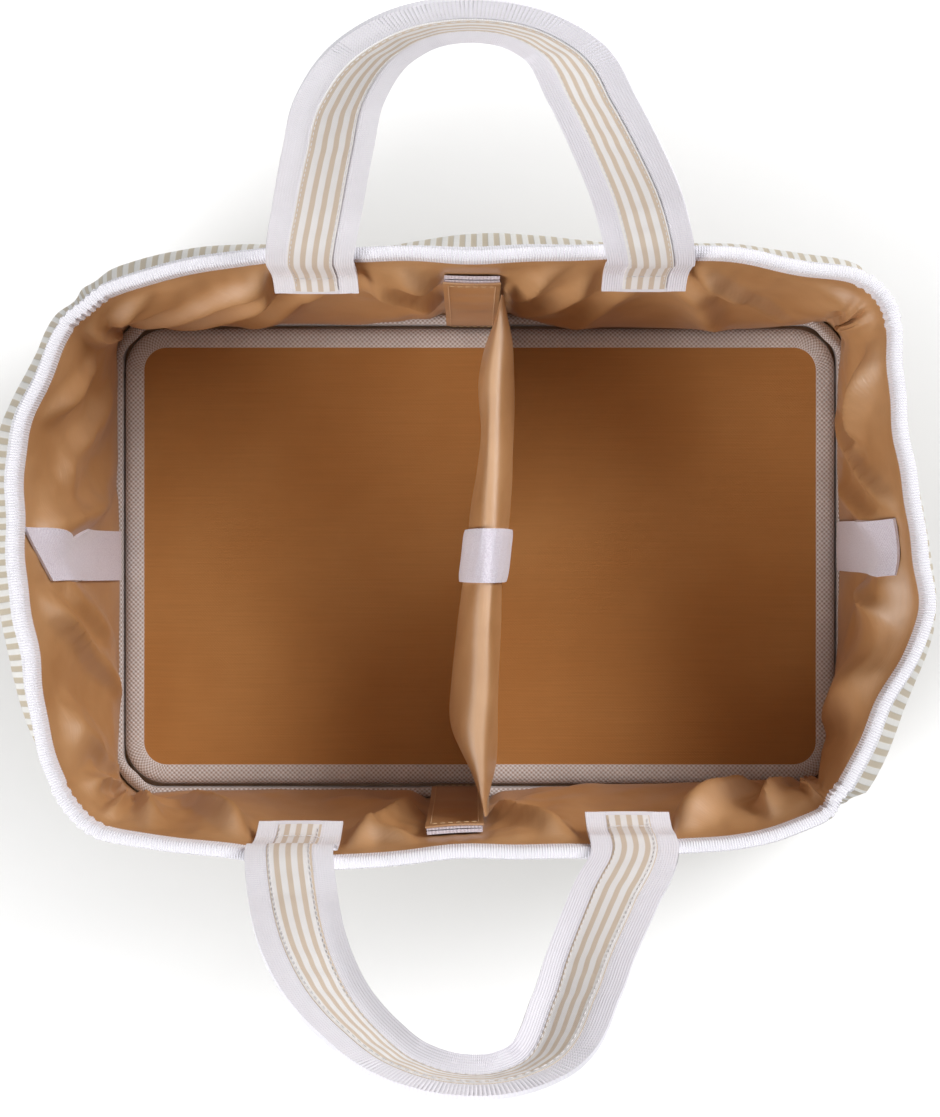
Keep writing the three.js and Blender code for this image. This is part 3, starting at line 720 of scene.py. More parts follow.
def weave_group():
    """Plain weave: knuckles of two threads on a cloth's UV map in metres."""
    if "thread_weave" in bpy.data.node_groups:
        return bpy.data.node_groups["thread_weave"]
    inputs = [("Cloth", VECTOR), ("Across", FLOAT), ("Along", FLOAT)]
    group, start, end = new_group("thread_weave", inputs, [("Height", FLOAT), ("Rib", FLOAT)])
    cloth = put(group, "ShaderNodeSeparateXYZ", [(0, start.outputs["Cloth"])])
    waves = []
    for axis, pitch in (("X", "Across"), ("Y", "Along")):
        turns = maths(group, "DIVIDE", cloth.outputs[axis], start.outputs[pitch])
        waves.append(maths(group, "SINE", maths(group, "MULTIPLY", turns, 2 * math.pi)))
    knuckle = maths(group, "MULTIPLY", *waves)
    group.links.new(maths(group, "MULTIPLY_ADD", knuckle, 0.5, 0.5), end.inputs["Height"])
    group.links.new(maths(group, "MULTIPLY_ADD", waves[1], 0.5, 0.5), end.inputs["Rib"])
    return group


def mottle_group():
    """Uneven dye: two tones of a colour mixed by soft noise."""
    if "cloth_mottle" in bpy.data.node_groups:
        return bpy.data.node_groups["cloth_mottle"]
    inputs = [("Place", VECTOR), ("Scale", FLOAT), ("Light", COLOUR), ("Dark", COLOUR)]
    group, start, end = new_group("cloth_mottle", inputs, [("Color", COLOUR), ("Value", FLOAT)])
    patches = noise(group, start.outputs["Place"], start.outputs["Scale"], 4.0)
    spread = put(group, "ShaderNodeMapRange", [(0, patches), (1, 0.3), (2, 0.7)])
    mixed = mix_colour(group, spread.outputs[0], start.outputs["Light"], start.outputs["Dark"])
    group.links.new(mixed, end.inputs["Color"])
    group.links.new(spread.outputs[0], end.inputs["Value"])
    return group


def stripe_group():
    """Even stripes across a cloth: a soft edged mask of a coordinate in metres."""
    if "even_stripes" in bpy.data.node_groups:
        return bpy.data.node_groups["even_stripes"]
    inputs = [("Coordinate", FLOAT), ("Pitch", FLOAT), ("Share", FLOAT), ("Edge", FLOAT)]
    group, start, end = new_group("even_stripes", inputs, [("Mask", FLOAT)])
    turns = maths(group, "DIVIDE", start.outputs["Coordinate"], start.outputs["Pitch"])
    phase = maths(group, "ABSOLUTE", maths(group, "SUBTRACT", maths(group, "FRACT", turns), 0.5))
    half = maths(group, "MULTIPLY", start.outputs["Share"], 0.5)
    over = maths(group, "SUBTRACT", half, phase)
    eased = maths(group, "DIVIDE", over, start.outputs["Edge"])
    node = put(group, "ShaderNodeMath", [(0, eased), (1, 0.5)], operation="ADD", use_clamp=True)
    group.links.new(node.outputs[0], end.inputs["Mask"])
    return group


def place_group(tree, group, inputs):
    """Outputs of a node group that is placed with values or links for its inputs."""
    return put(tree, "ShaderNodeGroup", inputs.items(), node_tree=group).outputs


def cloth_map(tree):
    """A piece's UV map in metres."""
    return put(tree, "ShaderNodeUVMap").outputs[0]


def object_place(tree):
    """Place on the object in metres."""
    return put(tree, "ShaderNodeTexCoord").outputs["Object"]


def woven(tree, cloth, across, along):
    """Plain weave with these thread pitches in metres."""
    return place_group(tree, weave_group(), {"Cloth": cloth, "Across": across, "Along": along})


def mottled(tree, scale, light, dark):
    """Colour of an uneven dye, with so many patches in a metre."""
    inputs = {"Place": object_place(tree), "Scale": scale, "Light": opaque(light), "Dark": opaque(dark)}
    return place_group(tree, mottle_group(), inputs)["Color"]


def striped(tree, cloth, phase, pitch, share, edge):
    """Mask of stripes along a cloth: phase and pitch in metres, their share of the pitch and soft edge."""
    across = put(tree, "ShaderNodeSeparateXYZ", [(0, cloth)]).outputs["X"]
    inputs = {"Coordinate": maths(tree, "ADD", across, phase), "Pitch": pitch, "Share": share, "Edge": edge}
    return place_group(tree, stripe_group(), inputs)["Mask"]


def streaks(tree, cloth, across, along):
    """Noise drawn out along a cloth's threads, with so many streaks in a metre across and along it."""
    stretched = put(tree, "ShaderNodeMapping", [("Vector", cloth), ("Scale", (across, along, 1.0))])
    return noise(tree, stretched.outputs[0], 1.0, 2.0)


def new_material(name, roughness, sheen=0.0, gloss=()):
    """Material with a Principled shader, with its tree and shader; gloss sets more of its sockets."""
    material = bpy.data.materials.new(name)
    material.use_nodes = True
    tree = material.node_tree
    shader = tree.nodes["Principled BSDF"]
    plain = (("Roughness", roughness), ("Sheen Weight", sheen), ("Sheen Roughness", SHEEN_ROUGHNESS))
    for socket, value in (*plain, *gloss):
        shader.inputs[socket].default_value = value
    return material, tree, shader


def paint(tree, shader, colours, height=None, distance=0.0):
    """Feeds a colour into the shader, and a height with its distance in metres into the shader's normal."""
    tree.links.new(colours, shader.inputs["Base Color"])
    if height is not None:
        bump = put(tree, "ShaderNodeBump", [("Height", height), ("Distance", distance), ("Strength", 1.0)])
        tree.links.new(bump.outputs[0], shader.inputs["Normal"])


def satin_material(name, light, dark, roughness):
    """Golden satin: a smooth weave with faint slubs along one thread."""
    material, tree, shader = new_material(name, roughness, gloss=SATIN_GLOSS)
    slub = streaks(tree, cloth_map(tree), 90.0, 1400.0)
    tone = maths(tree, "MULTIPLY_ADD", slub, 0.16, 0.92)
    paint(tree, shader, multiply_colour(tree, mottled(tree, 26.0, light, dark), tone), slub, 0.00012)
    rough = maths(tree, "MULTIPLY_ADD", slub, 0.12, roughness - 0.06)
    tree.links.new(rough, shader.inputs["Roughness"])
    return material


def striped_material(name, ground, stripe, sizes):
    """Seersucker: tan stripes on a white ground, with crinkled ground between them."""
    material, tree, shader = new_material(name, 0.88, 0.2)
    cloth = cloth_map(tree)
    mask = striped(tree, cloth, 0.0, sizes.stripe_pitch, 0.5, 0.08)
    threads = woven(tree, cloth, 0.0009, 0.0009)["Height"]
    banded = mix_colour(tree, mask, mottled(tree, 60.0, ground, shade(ground, 0.9)), opaque(stripe))
    # Painted shade: the colour darkens a little where the weave's threads dip
    tone = maths(tree, "MULTIPLY_ADD", threads, 0.14, 0.9)
    crinkles = streaks(tree, cloth, 150.0, 420.0)
    loose = maths(tree, "MULTIPLY", crinkles, maths(tree, "SUBTRACT", 1.0, mask))
    height = maths(tree, "MULTIPLY_ADD", threads, 0.2, loose)
    paint(tree, shader, multiply_colour(tree, banded, tone), height, 0.0003)
    return material


def webbing_material(name, high, groove_shade, sizes):
    """White ribbed webbing: light ribs with painted shade in the grooves between them, and fine cross
    threads.
    """
    material, tree, shader = new_material(name, 0.78, 0.25)
    ribs = woven(tree, cloth_map(tree), 0.0011, sizes.rib_pitch)
    crossed = maths(tree, "MULTIPLY_ADD", ribs["Height"], 0.5, 0.5)
    # The groove colour is painted shade, mixed in where the ribs and cross threads dip
    shown = maths(tree, "POWER", maths(tree, "MULTIPLY", ribs["Rib"], crossed), 0.6)
    dye = mottled(tree, 90.0, high, shade(high, 0.93))
    paint(tree, shader, mix_colour(tree, shown, opaque(groove_shade), dye), ribs["Height"], 0.00018)
    return material


def ribbon_material(name, ground, stripe, sizes, phase):
    """Ribbon: tan stripes that run along a cream ground, with a fine cross rib."""
    material, tree, shader = new_material(name, 0.8, 0.15)
    cloth = cloth_map(tree)
    mask = striped(tree, cloth, phase, 0.98 * sizes.stripe_pitch, 0.46, 0.07)
    threads = woven(tree, cloth, 0.0007, 0.0008)["Height"]
    banded = mix_colour(tree, mask, opaque(ground), opaque(stripe))
    # Painted shade: the colour darkens a little where the weave's threads dip
    tone = maths(tree, "MULTIPLY_ADD", threads, 0.12, 0.92)
    paint(tree, shader, multiply_colour(tree, banded, tone), threads, 0.00012)
    return material


def insert_material(name, light, dark):
    """Matt cloth of the insert: a fine weave with slubs and uneven dye."""
    material, tree, shader = new_material(name, 0.7, 0.04, INSERT_GLOSS)
    cloth = cloth_map(tree)
    threads = woven(tree, cloth, 0.0008, 0.0008)["Height"]
    slub = streaks(tree, cloth, 25.0, 900.0)
    # Painted shade: the colour darkens a little where the weave's threads dip; the slubs add streaks of
    # uneven tone
    fine = maths(tree, "MULTIPLY_ADD", threads, 0.1, 0.86)
    tone = maths(tree, "MULTIPLY_ADD", slub, 0.16, fine)
    height = maths(tree, "ADD", threads, slub)
    paint(tree, shader, multiply_colour(tree, mottled(tree, 11.0, light, dark), tone), height, 0.00012)
    return material


def tape_material(name, high, gap_shade, sizes):
    """Coarse woven tape: pale knuckles, with painted shade in the gaps between them."""
    material, tree, shader = new_material(name, 0.8, 0.1)
    knuckles = woven(tree, cloth_map(tree), sizes.weave_pitch, sizes.weave_pitch)["Height"]
    dye = mottled(tree, 45.0, high, shade(high, 0.82))
    # The gap colour is painted shade, mixed in where the knuckles dip
    shown = maths(tree, "POWER", knuckles, 0.8)
    paint(tree, shader, mix_colour(tree, shown, opaque(gap_shade), dye), knuckles, 0.0003)
    return material


def loop_material(name, light, dark):
    """Hook-and-loop tape: a dense fuzz of short loops, with painted shade between them."""
    material, tree, shader = new_material(name, 0.95, 0.5)
    fuzz = noise(tree, object_place(tree), 1500.0, 3.0)
    rows = woven(tree, cloth_map(tree), 0.0016, 0.0016)["Height"]
    loops = maths(tree, "MULTIPLY_ADD", rows, 0.25, maths(tree, "MULTIPLY", fuzz, 0.75))
    spread = put(tree, "ShaderNodeMapRange", [(0, loops), (1, 0.25), (2, 0.6)]).outputs[0]
    paint(tree, shader, mix_colour(tree, spread, opaque(dark), opaque(light)), loops, 0.0006)
    return material


def thread_material(name, rgb):
    """Twisted sewing thread."""
    material, tree, shader = new_material(name, 0.6, 0.2)
    twist = noise(tree, object_place(tree), 3000.0, 1.0)
    paint(tree, shader, mix_colour(tree, twist, opaque(shade(rgb, 0.8)), opaque(rgb)))
    return material


def core_material(name, rgb, grain, roughness):
    """Hidden cores, board or foam: a grainy surface of one tone."""
    material, tree, shader = new_material(name, roughness)
    inputs = {
        "Place": object_place(tree), "Scale": grain, "Light": opaque(rgb), "Dark": opaque(shade(rgb, 0.8))
    }
    dye = place_group(tree, mottle_group(), inputs)
    paint(tree, shader, dye["Color"], dye["Value"], 0.0003)
    return material


def finish(name, scene):
    """Material of a finish, made when a piece first asks for it."""
    label = f"caddy_{name}"
    if label in bpy.data.materials:
        return bpy.data.materials[label]
    sizes = scene.caddy_sizes
    colours = scene.caddy_colours
    makers = {
        "satin": lambda: satin_material(label, colours.satin, colours.satin_shade, 0.5),
        "divider_satin": lambda: satin_material(label, colours.satin, colours.satin_shade, 0.45),
        "striped_cloth": lambda: striped_material(label, colours.ground, colours.stripe, sizes),
        "webbing": lambda: webbing_material(label, colours.webbing, colours.webbing_groove_shade, sizes),
        "back_ribbon": lambda: ribbon_material(label, colours.ribbon, colours.ribbon_stripe, sizes, 0.0),
        "front_ribbon": lambda: ribbon_material(label, colours.ribbon, colours.ribbon_stripe, sizes, 0.0026),
        "insert_cloth": lambda: insert_material(label, colours.insert, colours.insert_shade),
        "insert_tape": lambda: tape_material(label, colours.tape, colours.tape_gap_shade, sizes),
        "loop_tape": lambda: loop_material(label, colours.loop_tape, colours.loop_shade),
        "white_thread": lambda: thread_material(label, colours.white_thread),
        "gold_thread": lambda: thread_material(label, colours.gold_thread),
        "chipboard": lambda: core_material(label, colours.board, 220.0, 0.9),
        "foam": lambda: core_material(label, colours.foam, 700.0, 0.95),
    }
    return makers[name]()


# Bag

WALL_NAMES = ("right", "back", "left", "front")
OUTER_COLUMNS = 320
OUTER_ROWS = 34
OUTER_FOOT = 1.4 * MM
FOOT_FOLD = 5 * MM

# Gathers of the outer cloth under the rim tape: turns, phase and share of each wave, then height and fades
GATHER_WAVES = ((97, 0, 0.6), (61, 1, 0.4))
GATHER_HEIGHT = 0.7 * MM
GATHER_FADE = 12 * MM
GATHER_START = 1 * MM
GATHER_EASE = 6 * MM
DENT_HEIGHT = 1.6 * MM

# The base cloth: how far in from the outline it ends, its height and its sag
BASE_INSET = 1.5 * MM
BASE_LIFT = 0.9 * MM
BASE_SAG = 0.5 * MM

# The foam: how far behind the outer cloth it stands, its thickness and its share of the belly
FOAM_GAP = 1.2 * MM
FOAM_THICKNESS = 1.4 * MM
FOAM_BELLY = 0.6


def panel_points(sizes, inset, u, v, height):
    """Points of a flat panel with rounded corners, an inset in from the base outline."""
    half = np.array([sizes.base_length, sizes.base_width]) / 2 - inset
    radius = sizes.corner_radius - inset
    y = (2 * v - 1) * half[1]
    past = np.clip(np.abs(y) - (half[1] - radius), 0, radius)
    reach = half[0] - radius + np.sqrt(np.maximum(radius * radius - past * past, 0))
    return np.column_stack([(2 * u - 1) * reach, y, np.broadcast_to(height, u.shape)])


def pucker(place, height, sizes):
    """Small gathers of the outer cloth under the rim binding and soft dents further down."""
    fall = sizes.wall_height - sizes.binding_drop - height
    near = np.exp(-np.clip(fall, 0, None) / GATHER_FADE) * smooth_step((fall - GATHER_START) / GATHER_EASE)
    gather = near * sum(share * np.sin(place * turns + phase) for turns, phase, share in GATHER_WAVES)
    dent = np.sin(place * 9.3 + height * 31) * np.sin(height * 25 + place * 4.1)
    return GATHER_HEIGHT * gather + DENT_HEIGHT * dent * belly_share(height / sizes.wall_height)


class CADDY_OT_outer_cloth(bpy.types.Operator):
    """Make the striped outer cloth of the walls and the base, and the foam behind it"""

    bl_idname = "caddy.outer_cloth"
    bl_label = "Outer cloth"

    def execute(self, context):
        sizes = context.scene.caddy_sizes
        cloth = finish("striped_cloth", context.scene)
        self.walls(sizes, cloth)
        self.base(sizes, cloth)
        self.foam(sizes, finish("foam", context.scene))
        return {"FINISHED"}

    def walls(self, sizes, material):
        """Striped cloth of the four walls in one ring, turned in at its foot."""
        flat = (perimeter_of(sizes), sizes.wall_height)

        def wall(u, v):
            place = place_at(sizes, u)
            height = OUTER_FOOT + v * (sizes.wall_height - OUTER_FOOT)
            below = np.clip(1 - height / FOOT_FOLD, 0, 1)
            turned_in = FOOT_FOLD * (1 - np.sqrt(np.clip(1 - below**2, 0, 1)))
            return wall_points(sizes, place, height, turned_in - pucker(place, height, sizes), 1.0)

        cloth = cloth_grid("outer_wall_cloth", OUTER_COLUMNS, OUTER_ROWS, flat, wall)
        close_seam(cloth)
        soften(cloth)
        thicken(cloth, sizes.outer_cloth)
        dress(cloth, material, "bag", "striped_cloth", *[f"outer_{name}_panel" for name in WALL_NAMES])

    def base(self, sizes, material):
        """Striped cloth under the bag."""

        def panel(u, v):
            sag = BASE_SAG * np.sin(math.pi * u) * np.sin(math.pi * v)
            return panel_points(sizes, BASE_INSET, u, v, BASE_LIFT - sag)

        cloth = cloth_grid("outer_base_cloth", 90, 60, base_size(sizes), panel)
        turn_over(cloth)
        thicken(cloth, sizes.outer_cloth)
        dress(cloth, material, "bag", "striped_cloth", "outer_base_panel")
        base_size(sizes)

    def foam(self, sizes, material):
        """Foam sheet behind the outer cloth."""

        def sheet(u, v):
            height = OUTER_FOOT + v * (sizes.wall_height - OUTER_FOOT)
            return wall_points(sizes, place_at(sizes, u), height, sizes.outer_cloth + FOAM_GAP, FOAM_BELLY)

        core = cloth_grid("wall_foam", 200, 20, (perimeter_of(sizes), sizes.wall_height), sheet)
        close_seam(core)
        thicken(core, FOAM_THICKNESS)
        dress(core, material, "bag", "foam_sheet", *[f"foam_{name}" for name in WALL_NAMES])


# Lining

LINING_COLUMNS = 270
LINING_ROWS = 42
LINING_FOOT = 2 * MM
LINING_FRAMES = 40
LINING_GRAVITY = 0.6

# The satin as a simulated cloth; shrinkage below zero is spare cloth, which gives it its slack
SATIN_CLOTH = {
    "quality": 6,
    "mass": 0.12,
    "tension_stiffness": 14,
    "compression_stiffness": 14,
    "shear_stiffness": 6,
    "bending_stiffness": 0.3,
    "pin_stiffness": 1.0,
    "shrink_min": -0.025,
}

# Where it is sewn: upright seams in the corners, and behind handle ends and tapes with a margin
SEAM_PLACES = (1.5, 3.5, 5.5, 7.5)
SEWN_NODES = (
    "loop_strip_back",
    "loop_strip_front",
    "handle_back_left_anchor",
    "handle_back_right_anchor",
    "handle_front_left_anchor",
    "handle_front_right_anchor",
)


SEWN_STRIPS = ("loop_strip_left", "loop_strip_right")
SEWN_MARGIN = 2 * MM
SEWN_FOOT = 6 * MM
SEWN_RIM_SHARE = 0.8
SEWN_STRIP_END = 20 * MM
LONG_WALL_AWAY = 90 * MM
SEAM_HALF_WIDTH = 0.06
SEAM_FIRMNESS = 0.7

# Soft sides of a fold and of its crest, above and below it in widths, and the crest's share of the rise
FOLD_SIDES = (0.55, 1.35)
CREST_SIDES = (0.62, 0.9)
CREST_SHARE = 0.45

# Puckers under the rim tape: their height, their fade down the wall and their step along it
PUCKER_HEIGHT = 0.8 * MM
PUCKER_FADE = 13 * MM
PUCKER_STEP = 1.7 * MM
PUCKER_EASE = 4 * MM

# Ridge of a corner seam and small creases
RIDGE_HEIGHT = 4.5 * MM
RIDGE_WIDTH = 3.5 * MM
CREASE_HEIGHT = 0.9 * MM

# The rim tape presses the lining to the wall by this much, and holds the top rows flat
RIM_PRESS = 1.5 * MM
RIM_PRESS_EASE = 14 * MM
RIM_HOLD = 25 * MM
RIM_HOLD_EASE = 11 * MM
LEAST_REACH = 0.2 * MM

# Heights over which the hang and the folds come and go, up from the foot and towards the rim
HANG_FOOT = 20 * MM
HANG_START = 9 * MM
HANG_EASE = 12 * MM
HANG_FULL = 30 * MM
FOLD_START = 12 * MM
FOLD_EASE = 18 * MM
FOLD_RIM_EASE = 25 * MM
FOLD_LEAST = 0.3 * MM

# How far beside and below a handle end or a tape the lining is held flat, and how softly that fades
HELD_MARGIN = 1 * MM
HELD_EASE = 9 * MM
HELD_BELOW = 28 * MM
HELD_RISE = 22 * MM

# The lining under the insert: its gap to the wall lining and its height
FLOOR_GAP = 0.5 * MM
FLOOR_HEIGHT = 2.0 * MM


def sewn_weights(sizes, points, place):
    """How firmly the lining is sewn: fully at rim, foot, tapes and handle ends, less at the corner seams."""
    x, y, height = points.T
    sewn = (height > sizes.wall_height - SEWN_RIM_SHARE * sizes.binding_drop) | (height < SEWN_FOOT)
    for node in SEWN_NODES:
        low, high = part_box(node)
        beside = (x > low.x - SEWN_MARGIN) & (x < high.x + SEWN_MARGIN)
        on_wall = (np.sign(y) == np.sign(low.y)) & (np.abs(y) > LONG_WALL_AWAY)
        sewn |= beside & on_wall & (height > low.z - SEWN_MARGIN) & (height < high.z + SEWN_MARGIN)
    for node in SEWN_STRIPS:
        low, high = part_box(node)
        beside = (y > low.y) & (y < high.y) & (np.sign(x) == np.sign(low.x))
        sewn |= beside & (height > high.z - SEWN_STRIP_END)
    gaps = [np.abs(np.mod(place, PLACES) - seam) for seam in SEAM_PLACES]
    seams = np.where(np.min(gaps, axis=0) < SEAM_HALF_WIDTH, SEAM_FIRMNESS, 0.0)
    return np.where(sewn, 1.0, seams)


def settle_cloth(obj, weights):
    """Lets a sewn sheet with spare cloth settle into folds, and keeps the shape that it takes."""
    group = obj.vertex_groups.new(name="sewn")
    for firmness in np.unique(weights[weights > 0]):
        group.add(np.flatnonzero(weights == firmness).tolist(), float(firmness), "REPLACE")
    select_only(obj)
    bpy.ops.object.modifier_add(type="CLOTH")
    modifier = obj.modifiers[-1]
    for name, value in SATIN_CLOTH.items():
        setattr(modifier.settings, name, value)
    modifier.settings.vertex_group_mass = group.name
    modifier.settings.effector_weights.gravity = LINING_GRAVITY
    modifier.collision_settings.use_collision = False
    modifier.point_cache.frame_end = LINING_FRAMES
    for number in range(1, LINING_FRAMES + 1):
        bpy.context.scene.frame_set(number)
    bpy.ops.object.modifier_apply(modifier=modifier.name)
    obj.vertex_groups.clear()


def fold_spots(sizes, place, height):
    """For each fold: shares along it, distances above it in widths, and its rise, at places and heights."""
    perimeter = perimeter_of(sizes)
    run = share_at(sizes, place) * perimeter
    for first, top, last, foot, width, rise in LINING_FOLDS:
        start, end = share_at(sizes, np.array([first, last])) * perimeter
        along = np.array([end - start, (foot - top) * MM])
        across = np.array([-along[1], along[0]]) / np.linalg.norm(along)
        off_run = np.mod(run - start + perimeter / 2, perimeter) - perimeter / 2
        spot = np.column_stack([off_run, height - top * MM])
        share = np.clip(spot @ along / (along @ along), 0, 1)
        away = spot - share[:, None] * along
        above = np.sign(away @ across * np.sign(across[1]))
        yield share, above * np.linalg.norm(away, axis=1) / (width * MM), rise * MM


def fold_depth(sizes, place, height):
    """How far the folds of the lining stand in at places and heights; each is steeper above than below."""
    total = np.zeros(len(place))
    for _, off, rise in fold_spots(sizes, place, height):
        total += rise * np.exp(-np.where(off > 0, off / FOLD_SIDES[0], off / FOLD_SIDES[1]) ** 2)
    return total


def crest_depth(sizes, place, height):
    """How far the crisp crests of the folds stand in beyond their soft forms."""
    total = np.zeros(len(place))
    for share, off, rise in fold_spots(sizes, place, height):
        crest = np.exp(-np.where(off > 0, (off / CREST_SIDES[0]) ** 2, -off / CREST_SIDES[1]))
        total += CREST_SHARE * rise * crest * np.sqrt(4 * share * (1 - share))
    return total


def rim_puckers(sizes, run, height):
    """Short upright puckers of the lining under the rim tape."""
    below = sizes.wall_height - sizes.binding_drop - height
    near = np.exp(-np.abs(below) / PUCKER_FADE) * smooth_step(below / PUCKER_EASE)
    wave = np.sin(run / PUCKER_STEP + 2 * np.sin(run * 61)) * (0.6 + 0.4 * np.sin(run * 37 + 1))
    return PUCKER_HEIGHT * near * wave


def held_flat(sizes, place, height):
    """Share of the lining that lies flat against the wall, under the tapes and the handle ends."""
    run = sizes.base_length - 2 * sizes.corner_radius
    shares = []
    for node in SEWN_NODES:
        low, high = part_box(node)
        place_of = back_place if low.y > 0 else front_place
        off = np.abs(place - place_of(sizes, (low.x + high.x) / 2)) * run
        across = 1 - smooth_step((off - (high.x - low.x) / 2 - HELD_MARGIN) / HELD_EASE)
        shares.append(across * smooth_step((height - low.z + HELD_BELOW) / HELD_RISE))
    return np.max(shares, axis=0)


def seam_ridge(sizes, place):
    """Sharp ridge of the lining's upright seams in the corners."""
    corner = sizes.corner_radius * math.pi / 2
    gaps = [np.abs(np.mod(place, PLACES) - seam) * corner for seam in SEAM_PLACES]
    return RIDGE_HEIGHT * np.exp(-np.min(gaps, axis=0) / RIDGE_WIDTH)


def crinkle(run, height):
    """Small soft creases of the lining, in patches along the run of the wall and up it."""
    bend = 0.012 * np.sin(run * 29 + height * 17)
    crease = np.sin((run * 0.8 + height * 0.6 + bend) / 0.0042) * np.sin((height - run * 0.4) / 0.011 + 1)
    patch = smooth_step(0.5 + 0.8 * np.sin(run * 23 + 1) * np.sin(height * 37 + run * 11))
    return CREASE_HEIGHT * crease * patch


def hang_limit(place, height, depth):
    """Eases how far the lining stands in, so that the tape of the insert stays in view from above."""
    limit = station_value(LINING_HANG, place) + HANG_WIDENING * np.clip(height - HANG_FOOT, 0, None)
    return depth / (1 + (depth / limit) ** 3) ** (1 / 3)


def hang_share(sizes, height):
    """How much of the lining's hang shows at a height: all of it low down, less towards the rim."""
    near_foot = smooth_step((height - HANG_START) / HANG_EASE)
    rim_foot = sizes.wall_height - sizes.binding_drop
    upward = smooth_step((height - HANG_FULL) / (rim_foot - HANG_FULL))
    return near_foot * (1 - upward)


def lining_reach(sizes, height):
    """How far a fold may stand in at a height: little at the foot and the rim, most in between."""
    near_foot = smooth_step((height - FOLD_START) / FOLD_EASE)
    near_rim = smooth_step((sizes.wall_height - sizes.binding_drop - height) / FOLD_RIM_EASE)
    return FOLD_LEAST + sizes.lining_ease * near_foot * near_rim


def lining_depth(sizes, height):
    """Depth of the lining's plain face at heights; the rim tape presses it to the wall."""
    over = height - sizes.wall_height + 2 * sizes.binding_drop
    return sizes.wall_padding + sizes.lining_cloth - RIM_PRESS * smooth_step(over / RIM_PRESS_EASE)


def lining_stand(sizes, place, height):
    """How far the lining stands in from its plain face before it settles."""
    hang = HANG_SHARE * station_value(LINING_HANG, place) * hang_share(sizes, height)
    swag = station_value(LINING_SWAG, place) * np.exp(-(((height - SWAG_HEIGHT) / SWAG_SPREAD) ** 2))
    creases = crinkle(share_at(sizes, place) * perimeter_of(sizes), height)
    folds = fold_depth(sizes, place, height) + swag + creases + seam_ridge(sizes, place)
    loose = hang + folds * lining_reach(sizes, height) / sizes.lining_ease
    return loose * (1 - held_flat(sizes, place, height))


class CADDY_OT_lining(bpy.types.Operator):
    """Make the slack satin lining of the walls and the lining under the insert"""

    bl_idname = "caddy.lining"
    bl_label = "Lining"

    def execute(self, context):
        sizes = context.scene.caddy_sizes
        satin = finish("satin", context.scene)
        self.walls(sizes, satin)
        self.base(sizes, satin)
        return {"FINISHED"}

    def walls(self, sizes, satin):
        """Lining of the four walls in one ring, settled into folds."""
        flat = (perimeter_of(sizes), sizes.wall_height)

        def wall(u, v):
            height = LINING_FOOT + v * (sizes.wall_height - LINING_FOOT)
            place = place_at(sizes, 1 - u)
            depth = lining_depth(sizes, height) + lining_stand(sizes, place, height)
            return wall_points(sizes, place, height, depth)

        lining = cloth_grid("wall_lining", LINING_COLUMNS, LINING_ROWS, flat, wall)
        cut = np.linspace(0, 1, LINING_COLUMNS + 1)
        store_turn(lining, np.tile(place_at(sizes, 1 - cut), LINING_ROWS + 1))
        close_seam(lining)
        self.settle(sizes, lining)
        soften(lining)
        self.crease(sizes, lining)
        thicken(lining, sizes.lining_cloth)
        dress(lining, satin, "bag", "satin", *[f"lining_{name}" for name in WALL_NAMES])

    def settle(self, sizes, lining):
        """Lets the lining settle, then eases how far it stands in."""
        start = read_points(lining)
        place = take_turn(lining)
        store_turn(lining, place)
        settle_cloth(lining, sewn_weights(sizes, start, place))
        settled = read_points(lining)
        height = settled[:, 2]
        inward = wall_inward(sizes, place, height)
        hang = ((settled - start) * inward).sum(axis=1)
        reach = lining_reach(sizes, height) * (1 - held_flat(sizes, place, height)) + LEAST_REACH
        stood = lining_stand(sizes, place, start[:, 2])
        kept = np.where(hang > 0, reach * np.tanh(hang / reach), hang)
        whole = hang_limit(place, height, np.maximum(stood + kept, 0))
        write_points(lining, settled + inward * (whole - stood - hang)[:, None])

    def crease(self, sizes, lining):
        """Gives the folds crisp crests, puckers the cloth under the rim and binds its top to the wall."""
        place = take_turn(lining)
        points = read_points(lining)
        height = points[:, 2]
        run = share_at(sizes, place) * perimeter_of(sizes)
        loose = (1 - held_flat(sizes, place, height)) * lining_reach(sizes, height) / sizes.lining_ease
        crests = crest_depth(sizes, place, height) * loose + rim_puckers(sizes, run, height)
        points += wall_inward(sizes, place, height) * crests[:, None]
        bound = smooth_step((height - sizes.wall_height + RIM_HOLD) / RIM_HOLD_EASE)[:, None]
        points += (wall_points(sizes, place, height, lining_depth(sizes, height)) - points) * bound
        write_points(lining, points)

    def base(self, sizes, satin):
        """Lining under the insert."""
        depth = sizes.wall_padding + sizes.lining_cloth
        flat = (sizes.base_length - 2 * depth, sizes.base_width - 2 * depth)

        def panel(u, v):
            return panel_points(sizes, depth + FLOOR_GAP, u, v, FLOOR_HEIGHT)

        under = cloth_grid("floor_lining", 60, 40, flat, panel)
        thicken(under, sizes.lining_cloth)
        dress(under, satin, "bag", "satin", "lining_base")


# Tapes that bind the rim and the base seam

COLUMNS_PER_RIB = 4
RIM_OUTSIDE = -1.3 * MM
RIM_CROWN = 2.2 * MM
RIM_SKIN = 0.9 * MM
RIM_RIB = 0.14 * MM
RIM_WANDER = 0.35 * MM

# Section of the tape on the base seam: depth and height in millimetres, and how its corners lean in
SEAM_PROFILE = ((4.6, 2.4), (4.4, 7), (5.2, 10.4), (7.6, 11.2), (9.8, 10.4), (10.4, 7), (10.2, 2.4))
SEAM_LEAN = 3.5 * MM
SEAM_TOP = 11 * MM
SEAM_KNUCKLE = 0.14 * MM
SEAM_KNUCKLES = 830


